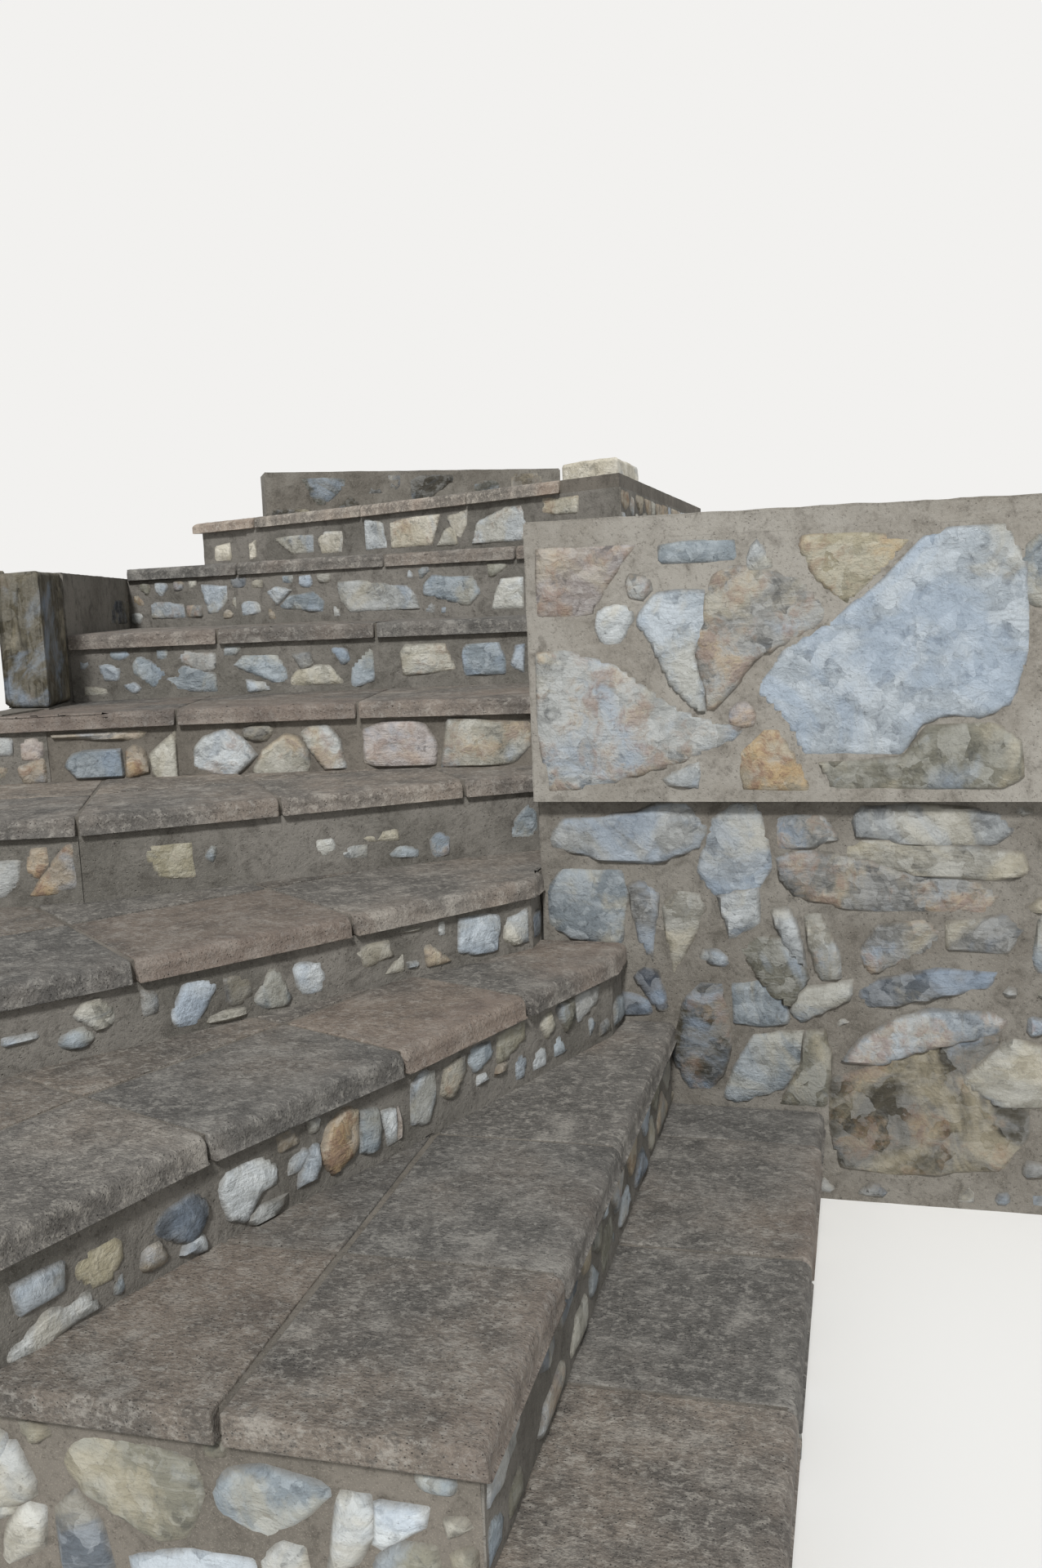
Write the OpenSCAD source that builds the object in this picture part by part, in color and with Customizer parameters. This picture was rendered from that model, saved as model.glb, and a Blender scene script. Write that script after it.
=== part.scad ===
// Outdoor stone steps: nine winding treads of bullnosed slabs on rubble masonry,
// turning round the corner of a rubble retaining wall.
// X runs along the face of the retaining wall, Y goes back into the slope, Z is up.
// The origin is on the ground, where the left face of the retaining wall meets its front face.

/* [Slabs] */
// Thickness of a tread slab
slab_t = 45; // [35:1:60]
// How far a nosing stands out over its riser
nose_out = 20; // [10:1:30]
// Radius of the rounded upper edge of a nosing
nose_r = 22; // [10:1:30]
// Width of the open joint between two slabs
joint_w = 8; // [4:1:12]
// Radius in plan of the rounded inner end of a nosing that stops in front of the wall
end_r = 70; // [40:5:110]

/* [Retaining wall] */
// Length of the retaining wall, from its corner by the steps to its right end
wall_l = 1200; // [900:10:1600]
// Thickness of the retaining wall
wall_t = 350; // [250:10:450]
// Height of the top of the retaining wall over the ground
wall_h = 1375; // [1200:5:1500]
// Height of the ledge where the upper masonry starts
ledge_h = 845; // [700:5:1000]
// How far the upper masonry stands out over the lower
ledge_in = 35; // [20:1:60]
// Thickness of the mortar capping on the wall
cap_t = 45; // [20:1:60]
// Thickness of the wall that runs back beside the upper treads
return_t = 250; // [200:10:320]
// Height of the stone block at the right end of the top riser, over the tread under it
block_h = 90; // [60:5:150]

/* [Flanks] */
// Distance of the front face of the steps from the face of the retaining wall
front_y = 1410; // [1300:10:1700]
// Distance of the left face of the steps from the corner of the retaining wall
left_x = 1440; // [1400:5:1460]
// Thickness of the rubble walls that enclose the steps
flank_t = 200; // [150:10:240]
// Width of the pier and of the kerb behind it
pier_w = 120; // [100:5:160]
// Distance of the front of the pier from the face of the retaining wall
pier_y = 250; // [200:5:300]
// Height of the pier over the tread that it stands on
pier_h = 345; // [250:5:400]
// Angle by which the kerb splays outwards as it goes back
splay = 21; // [10:1:30]

/* [Landing] */
// Length of the sill at the back of the landing
sill_l = 1230; // [1000:10:1400]
// Depth of the sill from front to back
sill_w = 150; // [100:10:200]
// Height of the sill over the landing
sill_h = 185; // [120:5:240]
// Angle of the sill to the face of the retaining wall
sill_turn = 31; // [20:1:40]

/* [Hidden] */

// Height of each riser, laid by eye and so uneven
rises = [195, 180, 170, 150, 180, 165, 180, 200, 190];
// Nosing of each tread from its outer to its inner end, with a point at each joint between slabs
nosings = [
    [[592, -1430], [592, -1020], [592, -620], [592, -170], [592, 0]],
    [[288, -1430], [288, -1055], [288, -637], [288, 0]],
    [[-330, -1430], [-210, -1080], [-50, -715], [75, -395], [187, -105], [187, 0]],
    [[-1068, -1430], [-750, -1040], [-510, -755], [-250, -420], [14, -75], [14, 0]],
    [[-1480, -580], [-850, -385], [-520, -140], [-190, 110], [0, 230]],
    [[-1360, 45], [-940, 190], [-510, 288], [0, 345]],
    [[-1480, 450], [-1030, 600], [-610, 700], [0, 830]],
    [[-1900, 1390], [-1290, 1255], [-740, 1135], [-300, 1030], [0, 960]],
    [[-2050, 2188], [-1560, 1960], [-1030, 1700], [-560, 1420], [-200, 1190]]
];
// Number of full rows of slabs behind the row with the nosing, and the depth of a row where there are some
rows = [0, 1, 1, 2, 1, 0, 1, 1, 0];
row_w = [0, 320, 290, 350, 320, 0, 460, 372, 0];
// Left end of the front of the sill, where it meets the corner of the house
sill_at = [-1620, 2210];
// Angle of the wall of the house to the face of the retaining wall
house_turn = 18;
// Depth of the slabs on the top riser
last_depth = 330;
// How far the low end of the kerb reaches in from the left face
low_kerb_w = 100;
// Angle over which the last leg of a nosing is its return to the wall
corner_turn = 20;
// Number of flats that round such an end
end_steps = 3;
// Length of a joint, past the widest tread
joint_l = 1000;
// Reach of a plan that goes past every face, and of a cut that goes past one edge
far = 6000;
over = 60;

function sum_to(v, k) = k < 1 ? 0 : v[k - 1] + sum_to(v, k - 1);
// Height of the upper face of tread k, and of the bed under its slabs
function top(k) = sum_to(rises, k);
function bed(k) = k < 1 ? 0 : top(k) - slab_t;
function unit(v) = v / norm(v);
function left_of(v) = [-v[1], v[0]];
function along(a) = [cos(a), sin(a)];
function last(p) = p[len(p) - 1];
function leg(p, i) = unit(p[i + 1] - p[i]);
// Direction of the mitre at point i of a line, long enough to set both legs back by one
function mitre(p, i) =
    let (n = len(p) - 1,
         a = left_of(leg(p, max(i - 1, 0))),
         b = left_of(leg(p, min(i, n - 1))))
    unit(a + b) / (unit(a + b) * a);
function set_back(p, d) = [for (i = [0:len(p) - 1]) p[i] + mitre(p, i) * d];
function heading(v) = atan2(v[1], v[0]);
// Where the line through p along u meets the line through q along v
function meet(p, u, q, v) =
    p + u * (((q - p) * left_of(v)) / (u * left_of(v)));

treads = len(nosings);
// Whether nosing k ends in a short return to the wall, and the nosing without it
function returns(k) =
    let (p = nosings[k - 1], n = len(p) - 1)
    heading(leg(p, n - 1)) - heading(leg(p, n - 2)) > corner_turn;
function front_of(k) =
    let (p = nosings[k - 1])
    returns(k) ? [for (i = [0:len(p) - 2]) p[i]] : p;
wall_top = wall_h + cap_t;
pier_top = top(6) + pier_h;
// Lines in plan that bound the steps
pier_in = [pier_w - left_x, pier_y];
kerb_way = along(90 + splay);
kerb_out = pier_in + pier_w * left_of(kerb_way);
house_way = along(house_turn);
sill_way = along(sill_turn);
sill_back = sill_at + sill_w * left_of(sill_way);
kerb_end_in = meet(pier_in, kerb_way, sill_at, house_way);
kerb_end_out = meet(kerb_out, kerb_way, sill_at, house_way);
// The back runs behind the sill and then straight across to the wall beside the steps
sill_end = sill_back + sill_l * sill_way;
back_end = [0, sill_end[1]];
kerb_start = meet(kerb_out, kerb_way, [-left_x, 0], [0, 1]);

// Everything behind a line that runs from the outer to the inner side of the steps
module behind(p) {
    start = p[0] - far * leg(p, 0);
    polygon(concat([start], p, [[far, last(p)[1]], [far, far], [-far, far], [-far, start[1]]]));
}

module behind_riser(k) {
    if (k <= treads) behind(riser_line(k));
}

// Everything behind a line at depth d, along the whole front of tread k
module behind_row(k, d) {
    p = set_back(front_of(k), d);
    behind(concat(p, [last(p) + joint_l * leg(p, len(p) - 2)]));
}

// The face of riser k, which at the top runs on past the slabs to the retaining wall
function riser_line(k) =
    let (p = set_back(nosings[k - 1], nose_out))
    k < treads ? p : concat(p, [meet(last(p), leg(p, len(p) - 2), [0, 0], [0, 1])]);

// Plan of all the masonry of the steps
module footprint() {
    polygon([
        [-left_x, -front_y], [nosings[0][0][0] - nose_out, -front_y],
        [nosings[0][0][0] - nose_out, 0], [0, 0], back_end, sill_end, sill_back, sill_at,
        kerb_end_out, kerb_start
    ]);
}

// Plan of the steps between the pier and kerb and the retaining wall
module between_kerbs() {
    polygon([
        [-left_x - nose_out, -front_y - nose_out], [nosings[0][0][0], -front_y - nose_out],
        [nosings[0][0][0], 0], [0, 0], back_end, sill_end, sill_at + sill_l * sill_way, sill_at,
        kerb_end_in, pier_in, [low_kerb_w - left_x, pier_y], [low_kerb_w - left_x, riser_line(6)[0][1]],
        [-left_x - nose_out, riser_line(6)[0][1]]
    ]);
}

module front_band() {
    translate([-far, -front_y]) square([2 * far, flank_t]);
}

module left_band() {
    shift = flank_t * [1, 0];
    polygon([
        [-left_x, -front_y], [-left_x, -front_y] + shift, kerb_start + shift,
        kerb_end_out + shift, kerb_end_out, kerb_start
    ]);
}

module back_band() {
    line = [sill_back, sill_end, back_end];
    polygon(concat(line, [
        back_end - [0, flank_t],
        meet(back_end - [0, flank_t], [1, 0], sill_back - flank_t * left_of(sill_way), sill_way),
        sill_back - flank_t * left_of(sill_way)
    ]));
}

module house_band() {
    inner = meet(kerb_end_out + [flank_t, 0], kerb_way, sill_at - flank_t * left_of(house_way), house_way);
    polygon([
        kerb_end_out, inner,
        meet(inner, house_way, sill_at, left_of(sill_way)), sill_at
    ]);
}

// One layer of masonry, from the bed under the last tread up to the bed of tread k
module layer(k) {
    translate([0, 0, bed(k - 1)]) linear_extrude(bed(k) - bed(k - 1)) children();
}

module riser(k) {
    color("darkgray") layer(k) difference() {
        intersection() {
            footprint();
            behind_riser(k);
            if (k > 6) between_kerbs();
        }
        front_band();
        if (k <= 6) left_band();
        house_band();
        back_band();
    }
}

// Profile of a slab square to its nosing, with the front at zero and the back to the left
module slab_profile() {
    translate([-far, 0]) square([far - nose_r, slab_t]);
    translate([-nose_r, 0]) square([nose_r, slab_t - nose_r]);
    translate([-nose_r, slab_t - nose_r]) intersection() {
        circle(nose_r);
        square(nose_r);
    }
}

// Endless slab with its rounded nosing through point q in the direction way
module slab_bar(q, way) {
    translate([q[0], q[1], 0]) rotate(heading(way))
        translate([-far, 0, 0]) rotate([90, 0, 90]) mirror([1, 0, 0])
            linear_extrude(2 * far) slab_profile();
}

// A point and a direction for each flat that rounds the inner end of nosing p, the return being the last
function end_flats(p) =
    let (m = len(p) - 2,
         from = heading(leg(p, m - 1)),
         turn = heading(leg(p, m)) - from)
    [for (j = [1:end_steps]) let (way = along(from + turn * j / end_steps))
        [p[m] + end_r * (mitre(p, m) - left_of(way)), way]];
// The same for the whole nosing of slab i of tread k
function slab_faces(k, i) =
    let (p = front_of(k))
    concat([[p[i], leg(p, i)]], returns(k) && i == len(p) - 2 ? end_flats(nosings[k - 1]) : []);

// Line of the open joint at point i of a nosing, moved sideways, and run out at the two ends
function joint_line(p, i, side) =
    let (n = len(p) - 1,
         run_out = i == 0 ? -far * leg(p, 0) : i == n ? far * leg(p, n - 1) : [0, 0],
         back = unit(mitre(p, i)),
         foot = p[i] + run_out - side * joint_w / 2 * left_of(back))
    [foot - over * back, foot + joint_l * back];

// Plan of the strip of tread k behind leg i of its nosing, between two joints
module strip(k, i) {
    p = front_of(k);
    a = joint_line(p, i, 1);
    b = joint_line(p, i + 1, -1);
    difference() {
        intersection() {
            between_kerbs();
            polygon([a[0], b[0], b[1], a[1]]);
        }
        if (k < treads) behind_riser(k + 1);
        else {
            behind_row(k, last_depth);
            translate([last(p)[0], 0]) square(far);
        }
    }
}

// Slabs of tread k: a row with a rounded nosing, and plain rows behind it where the tread is wide
module tread(k) {
    depth = row_w[k - 1];
    color(k % 2 == 0 ? "rosybrown" : "tan") translate([0, 0, bed(k)])
        for (i = [0:len(front_of(k)) - 2]) {
            intersection() {
                intersection_for(face = slab_faces(k, i)) slab_bar(face[0], face[1]);
                translate([0, 0, -over]) linear_extrude(slab_t + 2 * over) difference() {
                    strip(k, i);
                    if (rows[k - 1] > 0) behind_row(k, depth);
                }
            }
            for (row = [1:rows[k - 1]]) linear_extrude(slab_t) difference() {
                intersection() {
                    strip(k, i);
                    behind_row(k, row * depth + joint_w);
                }
                if (row < rows[k - 1]) behind_row(k, (row + 1) * depth);
            }
        }
}

// Rubble walls that enclose the steps, stepped to the beds of the treads
module front_flank() {
    color("dimgray") for (k = [1:treads]) layer(k) intersection() {
        footprint();
        behind_riser(k);
        front_band();
    }
}

module left_flank() {
    color("gray") for (k = [1:6]) layer(k) difference() {
        intersection() {
            footprint();
            behind_riser(k);
            left_band();
        }
        front_band();
        house_band();
    }
}

module house_side_flank() {
    color("gray") for (k = [1:treads]) layer(k) difference() {
        intersection() {
            house_band();
            behind_riser(k);
        }
        back_band();
    }
}

module back_flank() {
    color("dimgray") linear_extrude(bed(treads)) back_band();
}

module kerb_band() {
    polygon([pier_in, kerb_end_in, kerb_end_out, kerb_start, [-left_x, pier_y]]);
}

module pier() {
    color("olive") translate([0, 0, top(6)]) linear_extrude(pier_h) difference() {
        intersection() {
            footprint();
            kerb_band();
        }
        behind_riser(7);
    }
}

module kerb() {
    color("darkkhaki") translate([0, 0, bed(6)]) {
        linear_extrude(pier_top - bed(6)) difference() {
            intersection() {
                footprint();
                behind_riser(7);
                kerb_band();
            }
            house_band();
        }
        linear_extrude(slab_t) difference() {
            intersection() {
                footprint();
                behind_riser(6);
            }
            between_kerbs();
            behind_riser(7);
        }
    }
}

module landing() {
    color("lightgray") translate([0, 0, bed(treads)]) linear_extrude(slab_t) intersection() {
        between_kerbs();
        behind_row(treads, last_depth);
    }
}

module gate_sill() {
    color("darkgray") translate([sill_at[0], sill_at[1], bed(treads)]) rotate(sill_turn)
        cube([sill_l, sill_w, slab_t + sill_h]);
}

module end_block() {
    inner = last(nosings[treads - 1])[0];
    color("wheat") translate([0, 0, bed(treads)]) linear_extrude(block_h) difference() {
        intersection() {
            behind_riser(treads);
            translate([inner, 0]) square([-inner, far]);
        }
        behind_row(treads, last_depth);
    }
}

module wall_lower() {
    color("slategray") cube([wall_l, wall_t, ledge_h]);
}

module wall_upper() {
    color("lightslategray") translate([0, -ledge_in, ledge_h])
        cube([wall_l, wall_t + ledge_in, wall_h - ledge_h]);
}

module wall_cap() {
    color("gray") translate([0, -ledge_in, wall_h]) cube([wall_l, wall_t + ledge_in, cap_t]);
}

module return_wall() {
    color("slategray") translate([0, wall_t, 0])
        cube([return_t, back_end[1] - wall_t, wall_top]);
}

module riser_1() { riser(1); }
module riser_2() { riser(2); }
module riser_3() { riser(3); }
module riser_4() { riser(4); }
module riser_5() { riser(5); }
module riser_6() { riser(6); }
module riser_7() { riser(7); }
module riser_8() { riser(8); }
module riser_9() { riser(9); }
module tread_1() { tread(1); }
module tread_2() { tread(2); }
module tread_3() { tread(3); }
module tread_4() { tread(4); }
module tread_5() { tread(5); }
module tread_6() { tread(6); }
module tread_7() { tread(7); }
module tread_8() { tread(8); }
module tread_9() { tread(9); }

riser_1();
riser_2();
riser_3();
riser_4();
riser_5();
riser_6();
riser_7();
riser_8();
riser_9();
tread_1();
tread_2();
tread_3();
tread_4();
tread_5();
tread_6();
tread_7();
tread_8();
tread_9();
front_flank();
left_flank();
house_side_flank();
back_flank();
wall_lower();
wall_upper();
wall_cap();
return_wall();
end_block();
pier();
kerb();
landing();
gate_sill();
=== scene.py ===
# %% [markdown]
# # Outdoor stone steps
# Nine winding treads climb round the corner of a rubble retaining wall. Each tread is a row of
# stone slabs with a rounded nosing, and under each nosing stands a riser of small rubble stones
# set in mortar. The construction comes from the CAD frame. This script gives it its surfaces:
# worn slabs, single stones with their own shapes, and mortar that laps over their edges.

# %% Load the frame
import math
import random

import bmesh
import bpy
from mathutils import Matrix, Vector, noise
from mathutils.bvhtree import BVHTree


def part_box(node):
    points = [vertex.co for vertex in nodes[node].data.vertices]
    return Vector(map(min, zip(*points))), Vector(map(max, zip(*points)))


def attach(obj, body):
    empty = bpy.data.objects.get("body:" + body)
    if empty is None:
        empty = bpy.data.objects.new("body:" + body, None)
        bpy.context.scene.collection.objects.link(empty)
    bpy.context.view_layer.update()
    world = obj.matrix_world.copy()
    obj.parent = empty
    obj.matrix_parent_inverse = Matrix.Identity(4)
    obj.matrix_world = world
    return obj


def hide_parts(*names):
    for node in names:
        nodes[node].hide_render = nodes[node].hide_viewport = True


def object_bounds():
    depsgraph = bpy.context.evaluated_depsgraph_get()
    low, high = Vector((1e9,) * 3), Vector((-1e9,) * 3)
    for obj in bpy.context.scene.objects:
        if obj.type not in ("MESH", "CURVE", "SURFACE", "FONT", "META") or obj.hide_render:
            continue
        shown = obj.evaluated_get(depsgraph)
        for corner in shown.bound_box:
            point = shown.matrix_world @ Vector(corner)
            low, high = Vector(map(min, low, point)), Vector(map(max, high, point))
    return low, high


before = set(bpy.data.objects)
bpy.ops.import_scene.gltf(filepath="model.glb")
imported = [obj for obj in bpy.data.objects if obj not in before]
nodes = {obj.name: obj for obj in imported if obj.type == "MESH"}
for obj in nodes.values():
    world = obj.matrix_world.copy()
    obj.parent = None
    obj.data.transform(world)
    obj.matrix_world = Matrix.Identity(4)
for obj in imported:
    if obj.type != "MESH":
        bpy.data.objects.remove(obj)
cad_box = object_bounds()
TREADS = 9
print("frame:", len(nodes), "nodes, box", cad_box)

# %% [markdown]
# ## Camera
# The photograph was taken from in front of the lowest steps, looking up the flight, with the
# camera tipped a little down and leaning a little to one side. A camera is a matrix of three
# directions and a place, so the directions are built from the angles and put in its columns.
# The same directions say which way the camera looks through a pixel of the photograph, and that
# is how single stones are placed further down.

# %% Directions of the camera
PHOTO_W, PHOTO_H = 1276, 1920
FOCAL_PX = 1609.6
EYE = Vector((0.680, -2.656, 1.27))
PITCH, ROLL, YAW = (math.radians(a) for a in (8.12, 2.36, 15.0))

level = Vector((-math.sin(YAW), math.cos(YAW), 0))
across = Vector((math.cos(YAW), math.sin(YAW), 0))
plumb = Vector((0, 0, 1))
look = level * math.cos(PITCH) - plumb * math.sin(PITCH)
raised = level * math.sin(PITCH) + plumb * math.cos(PITCH)
right = across * math.cos(ROLL) - raised * math.sin(ROLL)
up = raised * math.cos(ROLL) + across * math.sin(ROLL)
print("the camera looks along", [round(c, 3) for c in look])

# %% Camera
lens = bpy.data.cameras.new("camera")
lens.sensor_fit = "VERTICAL"
lens.sensor_height = 36
lens.lens = lens.sensor_height * FOCAL_PX / PHOTO_H
camera = bpy.data.objects.new("camera", lens)
camera.matrix_world = Matrix((right, up, -look)).transposed().to_4x4()
camera.location = EYE
bpy.context.scene.collection.objects.link(camera)
bpy.context.scene.camera = camera
print("camera at", [round(c, 3) for c in camera.location], "with a lens of", round(lens.lens, 1), "mm")


# %% Pixels of the photograph
def sight(x, y):
    """The direction in which the camera sees pixel x, y of the photograph."""
    return look + right * (x - PHOTO_W / 2) / FOCAL_PX - up * (y - PHOTO_H / 2) / FOCAL_PX


def pixel(point):
    """The pixel of the photograph in which a point shows."""
    way = point - EYE
    scale = FOCAL_PX / way.dot(look)
    return PHOTO_W / 2 + way.dot(right) * scale, PHOTO_H / 2 - way.dot(up) * scale


# %% [markdown]
# ## Floor and light
# A plain pale floor and an even sky keep the colours as they are written. One broad lamp, high
# on the left, gives the stones a lit side and a shaded side, so that their relief can be read.

# %% Floor
FLOOR_SIZE = 60

bpy.context.scene.view_settings.view_transform = "Standard"
bm = bmesh.new()
bmesh.ops.create_grid(bm, x_segments=1, y_segments=1, size=FLOOR_SIZE / 2)
floor_mesh = bpy.data.meshes.new("floor")
bm.to_mesh(floor_mesh)
bm.free()
floor = bpy.data.objects.new("floor", floor_mesh)
bpy.context.scene.collection.objects.link(floor)
print("floor of", FLOOR_SIZE, "m")

# %% Lamp
SUN_LEVEL, SUN_SOFT = 2.8, math.radians(9)
SUN_TURN = tuple(math.radians(a) for a in (44, -16, 24))

sun_data = bpy.data.lights.new("sun", "SUN")
sun_data.energy = SUN_LEVEL
sun_data.angle = SUN_SOFT
sun = bpy.data.objects.new("sun", sun_data)
sun.rotation_euler = SUN_TURN
bpy.context.scene.collection.objects.link(sun)
print("lamp at level", SUN_LEVEL)

# %% [markdown]
# ## Shader maths as Python
# A stone's colour is a sum of many small effects. Writing each as a chain of nodes by hand is
# slow to read, so a small class wraps a socket and lets `a * b + c` add the Math nodes, and one
# method of the graph adds every other kind of node. The rest of the graph's methods are short
# names for the nodes that stone and mortar need most: noise, cells, a soft step and a mix.

# %% A socket with arithmetic
class Wire:
    """An output socket that arithmetic can be written with."""

    def __init__(self, graph, socket):
        self.graph, self.socket = graph, socket

    def maths(self, operation, a, b):
        return self.graph.node("ShaderNodeMath", {"operation": operation}, {0: a, 1: b})

    def __add__(self, other):
        return self.maths("ADD", self, other)

    def __sub__(self, other):
        return self.maths("SUBTRACT", self, other)

    def __rsub__(self, other):
        return self.maths("SUBTRACT", other, self)

    def __mul__(self, other):
        return self.maths("MULTIPLY", self, other)

    __radd__ = __add__
    __rmul__ = __mul__


# %% The node tree of a material
class Graph:
    """The node tree of one material, with a Principled shader at its end."""

    def __init__(self, name):
        self.material = bpy.data.materials.new(name)
        self.material.use_nodes = True
        self.tree = self.material.node_tree
        self.shader = self.tree.nodes["Principled BSDF"]
        self.place = self.node("ShaderNodeTexCoord", out=3)

    def node(self, kind, settings=None, values=None, out=0):
        made = self.tree.nodes.new(kind)
        for key, value in (settings or {}).items():
            setattr(made, key, value)
        for key, value in (values or {}).items():
            self.plug(made.inputs[key], value)
        return Wire(self, made.outputs[out])

    def plug(self, socket, value):
        if isinstance(value, Wire):
            self.tree.links.new(value.socket, socket)
        else:
            socket.default_value = value

    def finish(self, name, value):
        self.plug(self.shader.inputs[name], value)

    def noise(self, scale, detail, rough, at=None, bend=0.0):
        values = {"Vector": at or self.place, "Scale": scale, "Detail": detail,
                  "Roughness": rough, "Distortion": bend}
        return self.node("ShaderNodeTexNoise", None, values)

    def cells(self, scale, at=None):
        return self.node("ShaderNodeTexVoronoi", None, {"Vector": at or self.place, "Scale": scale})

    def ramp(self, value, low, high):
        """0 up to low, 1 from high on, and a smooth change between."""
        return self.node("ShaderNodeMapRange", {"interpolation_type": "SMOOTHSTEP"},
                         {"Value": value, "From Min": low, "From Max": high})

    def mix(self, amount, a, b, how="MIX"):
        return self.node("ShaderNodeMix", {"data_type": "RGBA", "blend_type": how},
                         {0: amount, 6: a, 7: b}, out=2)

    def stretched(self, scale, turn, at):
        return self.node("ShaderNodeMapping", None, {"Vector": at, "Scale": scale, "Rotation": turn})

    def shifted(self, vector, reach, at=None):
        """Coordinates moved by a colour, so that each stone shows another part of a pattern."""
        return self.node("ShaderNodeVectorMath", {"operation": "MULTIPLY_ADD"},
                         {0: vector, 1: (reach, reach, reach), 2: at or self.place})

    def flakes(self, scale, at):
        """A random level for each cell of a pattern with bent edges, like the flakes of a split stone."""
        swirl = self.node("ShaderNodeTexNoise", None, {"Vector": at, "Scale": scale * 1.5}, out=1)
        bent = self.shifted(swirl, 0.6 / scale, at)
        level = self.node("ShaderNodeTexVoronoi", None, {"Vector": bent, "Scale": scale}, out=1)
        return self.parts(level)[0]

    def attribute(self, name, out=0):
        return self.node("ShaderNodeAttribute", {"attribute_name": name}, out=out)

    def parts(self, colour):
        return [self.node("ShaderNodeSeparateColor", None, {0: colour}, out=i) for i in range(3)]

    def bump(self, height, distance, strength=1.0):
        self.finish("Normal", self.node("ShaderNodeBump", None, {"Height": height, "Distance": distance,
                                                                 "Strength": strength}))


# %% Colours
def paint(r, g, b):
    """A colour as it reads on a screen, 0 to 255, turned into the linear colour that shaders use."""
    return tuple(((c / 255 + 0.055) / 1.055) ** 2.4 for c in (r, g, b)) + (1,)


# %% [markdown]
# ## Finishes of the floor and the sky
# The sky has to light the stone evenly, and yet show as a pale backdrop. A Mix Shader with Light
# Path's Is Camera Ray does both: the camera sees the backdrop, and the stone sees the sky.

# %% Floor finish
pale = Graph("pale_floor")
pale.finish("Base Color", paint(236, 235, 232))
pale.finish("Roughness", 0.9)
floor_mesh.materials.append(pale.material)
print("floor finish:", pale.material.name)

# %% Sky
SKY, SKY_LEVEL = (0.87, 0.88, 0.89, 1), 0.54
BACKDROP = paint(242, 241, 239)

world = bpy.data.worlds.new("sky")
bpy.context.scene.world = world
world.use_nodes = True
sky = world.node_tree
background = sky.nodes["Background"]
background.inputs["Color"].default_value = SKY
background.inputs["Strength"].default_value = SKY_LEVEL
backdrop = sky.nodes.new("ShaderNodeBackground")
backdrop.inputs["Color"].default_value = BACKDROP
chooser = sky.nodes.new("ShaderNodeMixShader")
rays = sky.nodes.new("ShaderNodeLightPath")
sky.links.new(rays.outputs["Is Camera Ray"], chooser.inputs[0])
sky.links.new(background.outputs[0], chooser.inputs[1])
sky.links.new(backdrop.outputs[0], chooser.inputs[2])
sky.links.new(chooser.outputs[0], sky.nodes["World Output"].inputs["Surface"])
print("sky at level", SKY_LEVEL)

# %% [markdown]
# ## The finish of the slabs
# The slabs are a dense brown-grey stone, dressed with a pick, so that short pale strokes lie
# over darker ground. Feet have worn the nosings to a smoother mauve. Each slab was cut from
# another block, so a `grain` attribute holds three random numbers that shift and tint its
# pattern, and `nose` says how near a point is to the nosing. On the sunlit treads the third
# number also carries painted sunlight, which makes their slabs paler.

# %% Slab material
SLAB_GREY, SLAB_BROWN = paint(110, 107, 102), paint(118, 109, 99)
SLAB_DARK, SLAB_PALE = paint(60, 58, 55), paint(164, 160, 152)
NOSE_MAUVE, NOSE_PLUM = paint(137, 124, 115), paint(106, 94, 89)
SLAB_RUST, PIT_DARK = paint(132, 106, 88), paint(50, 47, 43)


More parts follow.
